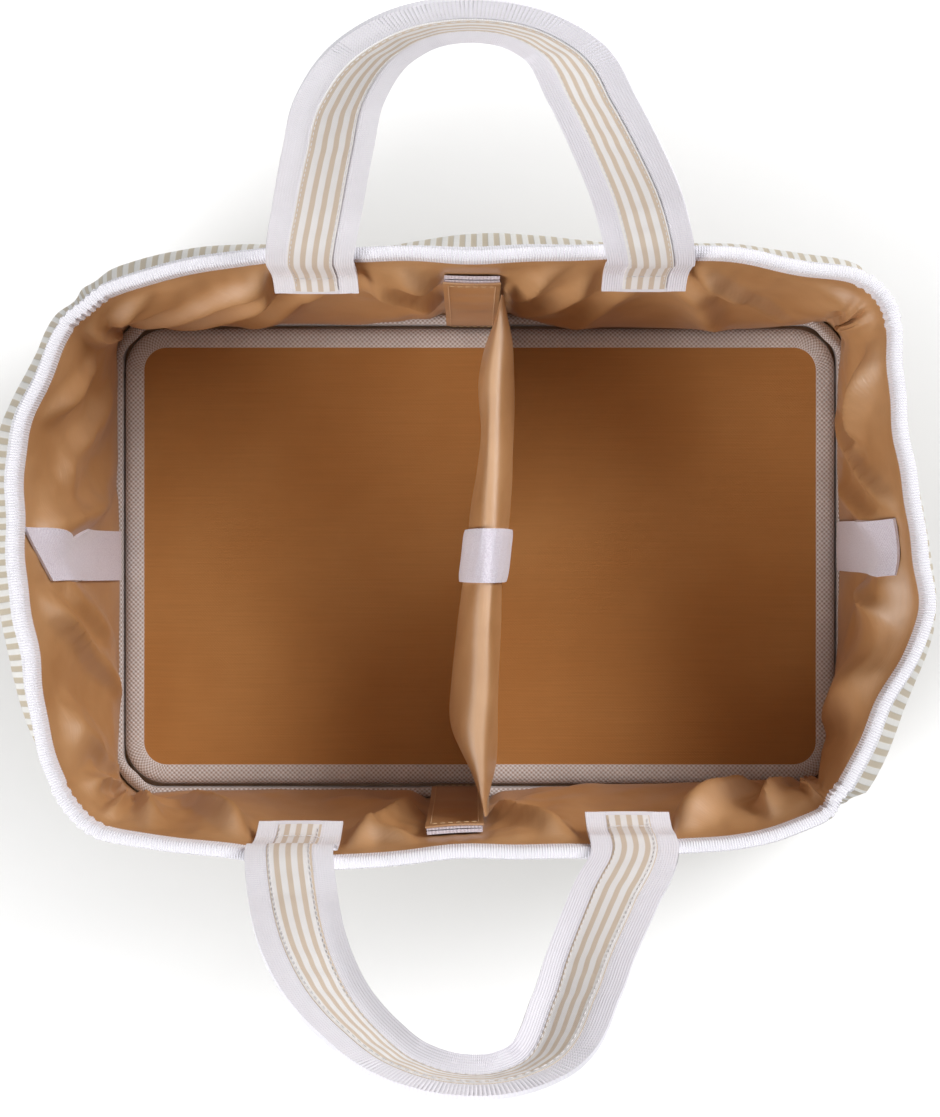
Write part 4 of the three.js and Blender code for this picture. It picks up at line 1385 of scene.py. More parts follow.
def loft_ring(name, columns, profile_count, flat, ring_point):
    """Closed tube: a closed profile carried round a closed run; ring_point(u, v) gives its points."""
    obj = cloth_grid(name, columns, profile_count, flat, ring_point)
    close_seam(obj)
    face_outwards(obj)
    return obj


def profile_at(corners, share):
    """Points of a closed profile of corners at shares of its length."""
    closed = np.array([*corners, corners[0]], float)
    reached = run_lengths(closed)
    at = share * reached[-1]
    return np.column_stack([np.interp(at, reached, closed[:, k]) for k in range(2)]), reached[-1]


def rim_profile(sizes):
    """Section of the rim tape, as depth and height: over the rim from outside to inside and back."""
    top = sizes.wall_height + RIM_CROWN
    drop = sizes.wall_height - sizes.binding_drop
    outer = RIM_OUTSIDE
    inner = outer + sizes.rim_width
    return [
        (outer + 0.2 * MM, drop),
        (outer, drop + 4 * MM),
        (outer, top - 1.6 * MM),
        (outer + 0.5 * MM, top - 0.5 * MM),
        (outer + 1.3 * MM, top),
        (inner - 1.3 * MM, top),
        (inner - 0.5 * MM, top - 0.5 * MM),
        (inner, top - 1.6 * MM),
        (inner, drop + 3 * MM),
        (inner - 0.2 * MM, drop - 1 * MM),
        (inner - 0.2 * MM - RIM_SKIN, drop - 1 * MM),
        (inner - RIM_SKIN, top - 3 * MM),
        (outer + RIM_SKIN, top - 3 * MM),
        (outer + RIM_SKIN, drop),
    ]


class CADDY_OT_bindings(bpy.types.Operator):
    """Make the ribbed tape over the rim and the tape on the base seam"""

    bl_idname = "caddy.bindings"
    bl_label = "Rim and base seam tapes"

    def execute(self, context):
        sizes = context.scene.caddy_sizes
        self.rim(sizes, finish("webbing", context.scene))
        self.seam(sizes, finish("insert_tape", context.scene))
        return {"FINISHED"}

    def rim(self, sizes, webbing):
        """Ribbed tape folded over the rim; its outer leg lies over the swell of the outer cloth."""
        rim_length = float(rim_run(sizes)[-1])
        ribs = round(rim_length / sizes.rib_pitch)
        corners = rim_profile(sizes)
        middle = RIM_OUTSIDE + sizes.rim_width / 2
        crown = sizes.wall_height + RIM_CROWN - 1.5 * MM

        def point(u, v):
            place = rim_place(sizes, u)
            profile, _ = profile_at(corners, v)
            rib = RIM_RIB * np.cos(2 * math.pi * u * ribs)
            off = profile[:, 0] - middle
            side = np.sign(off) * np.clip(np.abs(off) / (2 * MM), 0, 1)
            height = profile[:, 1] + rib * (profile[:, 1] > crown)
            over_cloth = smooth_step(-side)
            depth = profile[:, 0] + rib * side + RIM_WANDER * np.sin(place * 43)
            depth -= over_cloth * pucker(place, height, sizes)
            return wall_points(sizes, place, height, depth, over_cloth)

        _, girth = profile_at(corners, np.zeros(1))
        tape = loft_ring("rim_tape", ribs * COLUMNS_PER_RIB, 22, (rim_length, girth), point)
        turn_map(tape)
        dress(tape, webbing, "bag", "white_webbing", "rim_binding")

    def seam(self, sizes, woven_tape):
        """Woven tape on the seam between the walls and the base, leaning in at the corners."""
        corners = [(depth * MM, height * MM) for depth, height in SEAM_PROFILE]

        def point(u, v):
            place = place_at(sizes, u)
            profile, _ = profile_at(corners, v)
            from_middle = np.abs(np.mod(place, 2) - 1.5)
            turned = np.where(from_middle < 0.5, smooth_step(1 - 2 * from_middle), 0)
            lean = turned * SEAM_LEAN * (profile[:, 1] / SEAM_TOP) ** 2
            knuckle = np.sin(2 * math.pi * u * SEAM_KNUCKLES) * np.sin(2 * math.pi * v * 6)
            return wall_points(sizes, place, profile[:, 1], profile[:, 0] + lean + SEAM_KNUCKLE * knuckle)

        _, girth = profile_at(corners, np.zeros(1))
        tape = loft_ring("base_seam_tape", 2 * SEAM_KNUCKLES, 12, (perimeter_of(sizes), girth), point)
        dress(tape, woven_tape, "bag", "insert_tape", "base_seam_binding")


# Tapes on the walls

STRIP_COLUMNS = 12
STRIP_ROWS = 60
STRIP_EVENING = 14
STRIP_GAP = 0.4 * MM

# Loop strips on the end walls: place, rise of the top end, slant of that end and pinch of one edge in mm
END_STRIPS = (("right", 0.525, 7, 0, 0), ("left", 4.5, 20, 24, 5))
PINCH_HEIGHT = 118 * MM
PINCH_SPREAD = 20 * MM

# The lining is looked for from this depth outwards, and is taken to lie at the second where none is found
SEARCH_DEPTH = 45 * MM
SEARCH_LENGTH = 80 * MM
PLAIN_DEPTH = 4.6 * MM


def lining_tree():
    """Search tree of the lining's surface."""
    lining = bpy.data.objects.get("wall_lining")
    if lining is None:
        raise RuntimeError("The wall tapes follow the lining, so make the lining first")
    return BVHTree.FromObject(lining, bpy.context.evaluated_depsgraph_get())


def on_lining(sizes, tree, place, height):
    """Points on the lining's inner face at places and heights."""
    start = wall_points(sizes, place, height, SEARCH_DEPTH)
    outward = -wall_inward(sizes, place, height)
    found = []
    for origin, direction, plain in zip(start, outward, wall_points(sizes, place, height, PLAIN_DEPTH)):
        hit = tree.ray_cast(Vector(origin), Vector(direction), SEARCH_LENGTH)[0]
        found.append(np.array(hit) if hit else plain)
    return np.array(found)


def even_out(points, columns):
    """Smooths a grid of points, so that a stiff tape bridges the small folds under it."""
    grid = points.reshape(-1, columns + 1, 3)
    for _ in range(STRIP_EVENING):
        wide = np.pad(grid, ((1, 1), (1, 1), (0, 0)), mode="reflect", reflect_type="odd")
        around = wide[:-2, 1:-1] + wide[2:, 1:-1] + wide[1:-1, :-2] + wide[1:-1, 2:]
        grid = (around + 4 * grid) / 8
    return grid.reshape(-1, 3)


class CADDY_OT_end_strips(bpy.types.Operator):
    """Make the loop strips on the two end walls"""

    bl_idname = "caddy.end_strips"
    bl_label = "End wall loop strips"

    def execute(self, context):
        sizes = context.scene.caddy_sizes
        tree = lining_tree()
        run = sizes.base_width - 2 * sizes.corner_radius
        for name, middle, raised, slant, pinch in END_STRIPS:
            low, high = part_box(f"loop_strip_{name}")

            def strip(u, v, middle=middle, raised=raised, slant=slant, pinch=pinch, low=low, high=high):
                front_edge = 1 - u if middle > PLACES / 2 else u
                top = high.z + (raised - slant * front_edge) * MM
                height = low.z + v * (top - low.z)
                near = np.exp(-(((height - PINCH_HEIGHT) / PINCH_SPREAD) ** 2))
                dip = pinch * MM * near * (1 - front_edge)
                place = middle + ((0.5 - u) * sizes.tape_width + np.sign(middle - 1) * dip) / run
                points = even_out(on_lining(sizes, tree, place, height), STRIP_COLUMNS)
                return points + wall_inward(sizes, place, height) * (sizes.tape_thickness + STRIP_GAP)

            flat = (sizes.tape_width, high.z - low.z)
            tape = cloth_grid(f"end_strip_{name}", STRIP_COLUMNS, STRIP_ROWS, flat, strip)
            soften(tape)
            thicken(tape, sizes.tape_thickness)
            dress(tape, finish("loop_tape", context.scene), "bag", "hook_and_loop", f"loop_strip_{name}")
        return {"FINISHED"}


# Handles

HANDLE_LEAN = math.radians(27)
ANCHOR_PROFILE = ((13.8, 141), (11.2, 145.5), (8.6, 151), (7.4, 158), (7.2, 166), (7.0, 172))
BACK_ARCH = (
    (-74.7, 0), (-68, 45), (-62, 78), (-55.4, 108.5), (-40, 136.5), (-23.6, 148.7), (-5, 152.5),
    (13, 149), (28.4, 137.7), (42, 108.5), (53.6, 78), (64.4, 45), (73.4, 0),
)
FRONT_ARCH = (
    (-83, 0), (-79, 38), (-69.5, 78.5), (-59.6, 103), (-47, 123), (-31.7, 140), (-12.6, 149),
    (5.9, 149), (18, 143), (36, 103), (42.5, 78.5), (55, 38), (66.5, 0),
)
HANDLE_RISE = 151 * MM
HANDLE_SAMPLES = 2400
SECTION_SAMPLES = 161

# Turn of the webbing at the top of each arch: at its inner edge, middle and outer edge, in degrees
BACK_ROLLS = (6, 31, -3)
FRONT_ROLLS = (-28, 33, 14)

# Height over which a handle turns into its leaning arch, and how far below the hinge it starts to
LEAN_EASE = 30 * MM
LEAN_START = 8 * MM

# Sewing of a handle: ribs, the ribbon's lift, ends, puffs and seams, and the hems
WEBBING_RIB = 0.16 * MM
RIBBON_LIFT = 0.15 * MM
RIBBON_END = 3 * MM
RIBBON_PUFF = 0.25 * MM
RIBBON_RIPPLE = 0.2 * MM
RIBBON_SEAM_INSET = 1.1 * MM
RIBBON_SEAM_SAMPLES = 600
HEM_PLACE = 15 * MM
HEM_HALF_SHARE = 0.46
HEM_SAMPLES = 60


class HandleShape:
    """Middle line of a handle and the turn of its webbing, from one sewn end over the arch to the other."""

    def __init__(self, sizes, side, joint, arch, rolls):
        self.sizes = sizes
        self.side = side
        self.rolls = np.radians(rolls)
        self.hinge = np.array(HINGES[joint]["pos_m"], float)
        place_of = back_place if side > 0 else front_place
        sewn = []
        for x, _ in (arch[0], arch[-1]):
            depths, heights = np.array(ANCHOR_PROFILE, float).T * MM
            place = np.full(len(depths), place_of(sizes, x * MM))
            sewn.append(wall_points(sizes, place, heights, depths))
        loop = np.array(arch, float) * MM
        rise = loop[:, 1]
        loop_points = np.column_stack(
            [
                loop[:, 0],
                side * (abs(self.hinge[1]) + rise * math.sin(HANDLE_LEAN)),
                self.hinge[2] + rise * math.cos(HANDLE_LEAN),
            ]
        )
        knots = np.concatenate([sewn[0], loop_points, sewn[1][::-1]])
        reached = run_lengths(knots)
        line = hermite(reached, knots, np.linspace(0, reached[-1], HANDLE_SAMPLES))
        run = run_lengths(line)
        self.length = run[-1]
        self.run = run
        self.line = line
        tangent = np.gradient(line, run, axis=0)
        tangent /= np.linalg.norm(tangent, axis=1)[:, None]
        above = line[:, 2] - self.hinge[2]
        lean = smooth_step((above + LEAN_START) / LEAN_EASE) * HANDLE_LEAN
        face = np.column_stack([np.zeros(len(lean)), -side * np.cos(lean), np.sin(lean)])
        across = side * np.cross(face, tangent)
        foot = 1 - smooth_step(above / LEAN_EASE)
        square = np.zeros_like(across)
        square[:, 0] = np.where(run < run[-1] / 2, -1, 1)
        across = across * (1 - foot)[:, None] + square * foot[:, None]
        across /= np.linalg.norm(across, axis=1)[:, None]
        normal = side * np.cross(tangent, across)
        self.across = across
        self.normal = normal / np.linalg.norm(normal, axis=1)[:, None]
        self.rise = np.clip(above / (HANDLE_RISE * math.cos(HANDLE_LEAN)), 0, 1)

    def roll(self, width):
        """Turn of the webbing at the top of the arch, across its width from the inner to the outer edge."""
        half = self.sizes.webbing_width / 2
        inner, middle, outer = self.rolls
        edge = smooth_step((np.abs(width) - 0.35 * half) / (0.4 * half))
        return middle + np.where(width < 0, inner - middle, outer - middle) * edge

    def section(self, width):
        """Flat and raised shares of the section's curve at widths, for a fully turned strap."""
        half = self.sizes.webbing_width / 2
        fine = np.linspace(-half, half, SECTION_SAMPLES)
        step = fine[1] - fine[0]
        turn = self.roll(fine)
        flat = np.cumsum(np.cos(turn)) * step
        raised = np.cumsum(np.sin(turn)) * step
        flat -= np.interp(0, fine, flat)
        raised -= np.interp(0, fine, raised)
        return np.interp(width, fine, flat), np.interp(width, fine, raised)

    def points(self, share, width, lift):
        """Points of the strap at shares of its length, widths from its middle and lifts from its face."""
        at = share * self.length
        centre, across, normal, rise = [
            np.column_stack([np.interp(at, self.run, column) for column in np.atleast_2d(values.T)])
            for values in (self.line, self.across, self.normal, self.rise)
        ]
        ease = smooth_step(rise)
        flat, raised = self.section(width)
        turn = self.roll(width) * ease[:, 0]
        side = (width[:, None] * (1 - ease) + flat[:, None] * ease) - np.sin(turn)[:, None] * lift[:, None]
        off = raised[:, None] * ease + np.cos(turn)[:, None] * lift[:, None]
        return centre + across * side + normal * off


class CADDY_OT_handles(bpy.types.Operator):
    """Make the two webbing handles with their ribbons and stitching"""

    bl_idname = "caddy.handles"
    bl_label = "Handles"

    def execute(self, context):
        scene = context.scene
        sizes = scene.caddy_sizes
        back = ("back", 1, BACK_ARCH, BACK_ROLLS)
        front = ("front", -1, FRONT_ARCH, FRONT_ROLLS)
        for name, side, arch, rolls in (back, front):
            shape = HandleShape(sizes, side, f"handle_{name}_swing", arch, rolls)
            self.strap(scene, name, shape)
            self.ribbon(scene, name, shape)
            self.stitches(scene, name, shape)
        return {"FINISHED"}

    def strap(self, scene, name, shape):
        """Ribbed webbing of one handle."""
        sizes = scene.caddy_sizes
        ribs = round(shape.length / sizes.rib_pitch)

        def point(u, v):
            width = (v - 0.5) * sizes.webbing_width
            past_ribbon = smooth_step((np.abs(width) - sizes.ribbon_width / 2) / (1.5 * MM))
            return shape.points(u, width, WEBBING_RIB * np.cos(2 * math.pi * u * ribs) * past_ribbon)

        flat = (shape.length, sizes.webbing_width)
        strap = cloth_grid(f"handle_{name}_strap", ribs * COLUMNS_PER_RIB, 16, flat, point)
        turn_map(strap)
        thicken(strap, sizes.webbing_thickness, 0.0)
        face_outwards(strap)
        replaced = [f"handle_{name}_{part}" for part in ("webbing", "left_anchor", "right_anchor")]
        self.sew(strap, "webbing", scene, name, shape, "white_webbing", replaced)

    def ribbon(self, scene, name, shape):
        """Striped ribbon along the middle of one handle."""
        sizes = scene.caddy_sizes
        ends = RIBBON_END / shape.length
        lift = sizes.webbing_thickness / 2 + RIBBON_LIFT

        def point(u, v):
            share = ends + u * (1 - 2 * ends)
            ripple_height = RIBBON_RIPPLE * np.sin(share * 190) * np.sin(share * 23 + 1)
            puff = np.cos(math.pi * (v - 0.5)) * (RIBBON_PUFF + ripple_height)
            return shape.points(share, (v - 0.5) * sizes.ribbon_width, lift + puff)

        ribbon = cloth_grid(f"handle_{name}_trim", 420, 12, (shape.length, sizes.ribbon_width), point)
        turn_map(ribbon)
        thicken(ribbon, sizes.ribbon_thickness, 1.0)
        face_outwards(ribbon)
        self.sew(ribbon, f"{name}_ribbon", scene, name, shape, "striped_ribbon", [f"handle_{name}_ribbon"])

    def stitches(self, scene, name, shape):
        """Stitches along the ribbon's two edges and across the two hems."""
        sizes = scene.caddy_sizes
        ends = 2 * RIBBON_END / shape.length
        face = sizes.webbing_thickness / 2
        over_ribbon = face + RIBBON_LIFT + sizes.ribbon_thickness + 0.05 * MM
        edge = sizes.ribbon_width / 2 - RIBBON_SEAM_INSET
        rows = []
        for width in (-edge, edge):
            share = np.linspace(ends, 1 - ends, RIBBON_SEAM_SAMPLES)
            rows.append(self.row(shape, share, np.full(len(share), width), np.full(len(share), over_ribbon)))
        hem = HEM_PLACE / shape.length
        for place in (hem, 1 - hem):
            width = np.linspace(-HEM_HALF_SHARE, HEM_HALF_SHARE, HEM_SAMPLES) * sizes.webbing_width
            on_ribbon = np.abs(width) < sizes.ribbon_width / 2
            lift = face + np.where(on_ribbon, 1.1 * MM, 0.1 * MM)
            rows.append(self.row(shape, np.full(len(width), place), width, lift))
        stitches = stitch_rows(f"handle_{name}_stitches", rows, sizes)
        self.sew(stitches, "white_thread", scene, name, shape, "white_webbing", [])

    def row(self, shape, share, width, lift):
        """Points of a row of stitches on the strap, and the normals of the cloth under it."""
        path = shape.points(share, width, lift)
        return path, shape.points(share, width, lift + MM) - path

    def sew(self, piece, material, scene, name, shape, slot, replaced):
        """Dresses a handle piece and bakes its place into its mesh."""
        dress(piece, finish(material, scene), None, slot, *replaced)
        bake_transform(piece)


# Base insert


INSERT_CLOTH = 0.6 * MM
INSERT_KNUCKLE = 0.16 * MM
COLUMNS_PER_KNUCKLE = 3

# The insert's cloth: its edge under the tape, its place under the top, its crown, waves and eased border
CLOTH_EDGE = 3 * MM
TOP_CLOTH_DROP = 1.5 * MM
UNDER_CLOTH_LIFT = 1.1 * MM
TOP_CROWN = 0.7 * MM
CLOTH_WAVE = 0.25 * MM
CLOTH_BORDER = 30 * MM


def insert_outline(sizes, share, inset):
    """Points of the insert's outline at shares of the way round, in from its edge, and its length."""
    lengths = stretch_lengths(INSERT_SIZE, sizes.insert_corner)
    edge, out = rounded_outline(INSERT_SIZE, sizes.insert_corner, place_on(lengths, share) % PLACES)
    return edge - out * inset[:, None], lengths.sum()


def insert_profile(sizes):
    """Section of the insert's tape, as inset and height: from its top edge round the outside and back."""
    reach = sizes.insert_binding_reach
    top = INSERT_HIGH.z
    foot = INSERT_LOW.z
    return [
        (reach, top - 2.0 * MM),
        (reach - 0.9 * MM, top - 0.8 * MM),
        (reach - 2.8 * MM, top - 0.1 * MM),
        (4 * MM, top),
        (1.8 * MM, top - 0.7 * MM),
        (0.6 * MM, top - 1.9 * MM),
        (0, top - 3.4 * MM),
        (0, foot + 2.6 * MM),
        (1 * MM, foot + 0.6 * MM),
        (3 * MM, foot),
        (reach, foot),
        (reach, foot + 0.9 * MM),
        (2 * MM, foot + 1.2 * MM),
        (2 * MM, top - 1.3 * MM),
    ]


class CADDY_OT_insert(bpy.types.Operator):
    """Make the base insert: cloth on both faces and a woven tape round its edge"""

    bl_idname = "caddy.insert"
    bl_label = "Base insert"

    def execute(self, context):
        scene = context.scene
        self.tape(scene.caddy_sizes, finish("insert_tape", scene))
        self.cloths(scene.caddy_sizes, finish("insert_cloth", scene))
        board = frame["nodes"]["insert_board"]
        board.data.materials.clear()
        board.data.materials.append(finish("chipboard", scene))
        return {"FINISHED"}

    def tape(self, sizes, material):
        """Woven tape round the insert's edge."""
        corners = insert_profile(sizes)
        _, girth = profile_at(corners, np.zeros(1))
        _, around = insert_outline(sizes, np.zeros(1), np.zeros(1))
        knuckles = round(around / sizes.weave_pitch)
        crown = INSERT_HIGH.z - 1.5 * MM

        def point(u, v):
            spot, _ = profile_at(corners, v)
            across = np.sin(2 * math.pi * v * girth / sizes.weave_pitch)
            bump = INSERT_KNUCKLE * np.sin(2 * math.pi * u * knuckles) * across
            inset = spot[:, 0] + np.where(spot[:, 0] < 0.8 * MM, bump, 0)
            edge, _ = insert_outline(sizes, u, inset)
            return np.column_stack([edge, spot[:, 1] + np.where(spot[:, 1] > crown, bump, 0)])

        tape = loft_ring("insert_tape", COLUMNS_PER_KNUCKLE * knuckles, 42, (around, girth), point)
        dress(tape, material, "base_insert", "insert_tape", "insert_binding")

    def cloths(self, sizes, material):
        """Cloth on the insert's top and under it."""
        flat = tuple(float(side - 2 * CLOTH_EDGE) for side in INSERT_SIZE)
        top = self.face(sizes, flat, INSERT_HIGH.z - TOP_CLOTH_DROP, TOP_CROWN)
        cloth = cloth_grid("insert_cloth_top", 120, 80, flat, top)
        thicken(cloth, INSERT_CLOTH)
        dress(cloth, material, "base_insert", "insert_cloth", "insert_top_cloth", "insert_pad")
        foot = self.face(sizes, flat, INSERT_LOW.z + UNDER_CLOTH_LIFT, 0.0)
        under = cloth_grid("insert_cloth_under", 60, 40, flat, foot)
        turn_over(under)
        thicken(under, INSERT_CLOTH)
        dress(under, material, "base_insert", "insert_cloth", "insert_under_cloth")

    def face(self, sizes, flat, height, crown):
        """Shape of a cloth of the insert at a height, with a crown in its middle."""
        length, width = INSERT_SIZE
        inset = sizes.base_length / 2 - length / 2 + CLOTH_EDGE
        narrower = flat[1] / (sizes.base_width - 2 * inset)

        def lay(u, v):
            border = np.minimum(np.minimum(u, 1 - u) * length, np.minimum(v, 1 - v) * width)
            edge = np.clip(border / CLOTH_BORDER, 0, 1)
            wave = np.sin(u * 13 + v * 5) * np.sin(v * 9 - u * 4 + 1)
            lift = crown * smooth_step(edge) + CLOTH_WAVE * wave * edge
            return panel_points(sizes, inset, u, v, height + lift) * np.array([1, narrower, 1])

        return lay


# Divider

# Across the divider from back to front: y, place of the top fold, swell to the left and to the right
DIVIDER_STATIONS = (
    (119, 8.9, 0.5, 2), (112, 8.2, 1.4, 4.5), (101, 7.2, 4.6, 8.8), (85, 6, 7.2, 10.6), (60, 4.6, 5, 11.4),
    (42, 4.1, 6, 11.5), (20, 3.7, 9.2, 10.8), (0, 3.5, 10.8, 8.8), (-14, 3.1, 12.5, 7.4),
    (-36, 1.6, 14, 7.8), (-60, 0.4, 14.8, 8.8), (-86, -0.9, 12.6, 9.4),
    (-101, -0.6, 4.4, 7.6), (-112, 0.2, 1.2, 4.2), (-119, 1.5, 0.5, 2),
)
DIVIDER_SHOULDER = 0.62
DIVIDER_FOOT = 0.2 * MM
DIVIDER_FLAT = (240 * MM, 270 * MM)

# The top drops at the divider's two ends, over this share of half its length
END_DROP = 2.5 * MM
END_SHARE = 0.08

# Dents of the cover: direction, wavelength, phase and height
DIVIDER_DENTS = (((0, 1, 0.5), 0.083, 0.4, 0.5 * MM), ((0, 1, -0.8), 0.057, 1.1, 0.35 * MM))

# The strap over the divider: how far it stands off, less at its edges, its waves and its thickness
STRAP_LIFT = 2.6 * MM
STRAP_EDGE = 0.7 * MM
STRAP_WAVE = 0.15 * MM
STRAP_THICKNESS = 1.6 * MM

# Depths of a tab's layers from the wall's outer face: wall strip, hooks, cloth and stitches
WALL_STRIP_DEPTH = 5.9 * MM
HOOKS_DEPTH = 7.9 * MM
FLAP_DEPTH = 9.0 * MM
TAB_STITCH_DEPTH = 9.75 * MM

# A tab's foot curls in below this height; the hooks under it follow by a share
CURL_TOP = 62 * MM
CURL_EASE = 46 * MM
CURL_DEPTH = 2.5 * MM
HOOKS_FOLLOW = 0.9

FLAP_CLOTH = 0.8 * MM
FLAP_CREASE = 0.3 * MM
TAB_HEM = 2.4 * MM


def divider_points(along, round_share, lift):
    """Points of the divider's cover: along it from back to front, round it from left foot to right."""
    table = np.array(DIVIDER_STATIONS, float) * MM
    y = table[0, 0] + along * (table[-1, 0] - table[0, 0])
    ridge, left, right = hermite(-table[:, 0], table[:, 1:], -y).T
    angle = round_share * math.pi
    cosine = np.cos(angle)
    swell = np.abs(cosine) ** DIVIDER_SHOULDER
    rise = np.abs(np.sin(angle)) ** 0.5
    # The padding is fullest below the middle and thins towards the foot.
    body = 0.62 + 0.38 * np.sin(np.clip(rise, 0, 1) * math.pi * 0.8)
    x = ridge - np.where(cosine > 0, left, -right) * swell * body
    foot = DIVIDER_LOW.z + DIVIDER_FOOT
    end = 1 - np.abs(2 * along - 1)
    top = DIVIDER_HIGH.z - END_DROP * (1 - smooth_step(end / END_SHARE))
    z = foot + rise * (top - foot)
    out_x = -np.sign(cosine) * np.abs(cosine)
    out_z = np.abs(np.sin(angle))
    return np.column_stack([x + lift * out_x, y, z + lift * out_z])


class CADDY_OT_divider(bpy.types.Operator):
    """Make the padded divider and the loop strap over its top"""

    bl_idname = "caddy.divider"
    bl_label = "Divider"

    def execute(self, context):
        scene = context.scene
        sizes = scene.caddy_sizes

        def closed(u, v):
            points = divider_points(u, np.clip(v, 0, 1), np.zeros(len(u)))
            points[:, 0] += ripple(points, DIVIDER_DENTS) * np.abs(np.sin(2 * v * math.pi))
            return points

        cover = cloth_grid("divider_cushion", 110, 60, DIVIDER_FLAT, closed)
        select_only(cover)
        bpy.ops.object.mode_set(mode="EDIT")
        bpy.ops.mesh.select_all(action="DESELECT")
        bpy.ops.mesh.select_non_manifold()
        bpy.ops.mesh.edge_face_add()
        bpy.ops.mesh.select_all(action="SELECT")
        bpy.ops.mesh.normals_make_consistent(inside=False)
        bpy.ops.object.mode_set(mode="OBJECT")
        dress(cover, finish("divider_satin", scene), "divider", "satin", "divider_cover", "divider_foam")

        def strap(u, v):
            along = 0.5 + (u - 0.5) * sizes.tape_width / DIVIDER_FLAT[0]
            edge = np.abs(2 * u - 1) ** 6
            loose = STRAP_LIFT - STRAP_EDGE * edge + STRAP_WAVE * np.sin(v * 60 + u * 5)
            return divider_points(along, v, loose)

        band = cloth_grid("divider_strap", 20, 100, (sizes.tape_width, DIVIDER_FLAT[1]), strap)
        thicken(band, STRAP_THICKNESS)
        face_outwards(band)
        dress(band, finish("loop_tape", scene), "divider", "hook_and_loop", "divider_loop_strap")
        return {"FINISHED"}


class CADDY_OT_tabs(bpy.types.Operator):
    """Make the divider's two tabs and the tapes that hold them to the long walls"""

    bl_idname = "caddy.tabs"
    bl_label = "Divider tabs"

    def execute(self, context):
        scene = context.scene
        sizes = scene.caddy_sizes
        for name, place_of, side in (("back", back_place, 1), ("front", front_place, -1)):
            self.tape(scene, f"wall_strip_{name}", f"loop_strip_{name}", "bag", place_of, WALL_STRIP_DEPTH)
            tab = f"tab_{name}"
            self.tape(scene, f"{tab}_hooks", f"{tab}_hook_strip", tab, place_of, HOOKS_DEPTH, HOOKS_FOLLOW)
            low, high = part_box(f"{tab}_flap")
            flat = (high.x - low.x, high.z - low.z)

            def flap(u, v, low=low, high=high, place_of=place_of):
                x = low.x + u * (high.x - low.x)
                height = low.z + v * (high.z - low.z)
                crease = FLAP_CREASE * np.sin(height * 240) * np.sin(u * math.pi) * smooth_step(v * 3)
                depth = FLAP_DEPTH + self.curl(height) + crease
                return wall_points(sizes, place_of(sizes, x), height, depth)

            cloth = cloth_grid(f"{tab}_cloth", 26, 70, flat, flap)
            if side < 0:
                turn_over(cloth)
            thicken(cloth, FLAP_CLOTH)
            face_outwards(cloth)
            dress(cloth, finish("satin", scene), tab, "satin", f"{tab}_flap")
            self.hem(scene, name, place_of, low, high)
        return {"FINISHED"}

    def curl(self, height):
        """How far a tab's foot curls in from the wall at a height."""
        return CURL_DEPTH * smooth_step((CURL_TOP - height) / CURL_EASE) ** 2

    def tape(self, scene, piece, node, body, place_of, depth, follow=0.0):
        """One strip of hook-and-loop tape against a long wall."""
        sizes = scene.caddy_sizes
        low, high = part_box(node)

        def strip(u, v):
            x = low.x + u * (high.x - low.x)
            height = low.z + v * (high.z - low.z)
            return wall_points(sizes, place_of(sizes, x), height, depth + follow * self.curl(height))

        obj = cloth_grid(piece, 14, 60, (high.x - low.x, high.z - low.z), strip)
        thicken(obj, sizes.tape_thickness, 0.0)
        face_outwards(obj)
        dress(obj, finish("loop_tape", scene), body, "hook_and_loop", node)

    def hem(self, scene, name, place_of, low, high):
        """Stitches round a tab, a little in from its edges."""
        sizes = scene.caddy_sizes
        left = low.x + TAB_HEM
        right = high.x - TAB_HEM
        foot = low.z + TAB_HEM
        top = high.z - TAB_HEM
        corners = np.array([(left, foot), (left, top), (right, top), (right, foot)])
        rows = []
        for start, end in zip(corners, np.roll(corners, -1, axis=0)):
            x, height = np.linspace(start, end, HEM_SAMPLES).T
            place = place_of(sizes, x)
            path = wall_points(sizes, place, height, TAB_STITCH_DEPTH + self.curl(height))
            rows.append((path, wall_inward(sizes, place, height)))
        stitches = stitch_rows(f"tab_{name}_stitches", rows, sizes)
        dress(stitches, finish("gold_thread", scene), f"tab_{name}", "satin")


# Stage

# Lamps: name, place and power; each is a square that faces the bag
LAMPS = (("front_light", (-1.13, -1.0, 1.16), 28.0), ("back_light", (1.13, 0.8, 1.3), 31.0))
LAMP_SIZE = 1.0
LAMP_AIM = (0, 0, 0.1)

# The stage's floor, its two close tones, and the range of its glow: near and far, then strength at each
STAGE_SIZE = 8
STAGE_LEVEL = -0.5 * MM
STAGE_TONES = ((0.73, 0.73, 0.73), (0.75, 0.75, 0.75))
GLOW_SQUEEZE = (0.65, 1.0, 1.0)
GLOW_RANGE = (0.15, 0.45, 0.06, 0.95)

# Strength of the surroundings as light on the bag; seen as background they have full strength
WORLD_LIGHT = 0.2
WHITE = (1, 1, 1, 1)


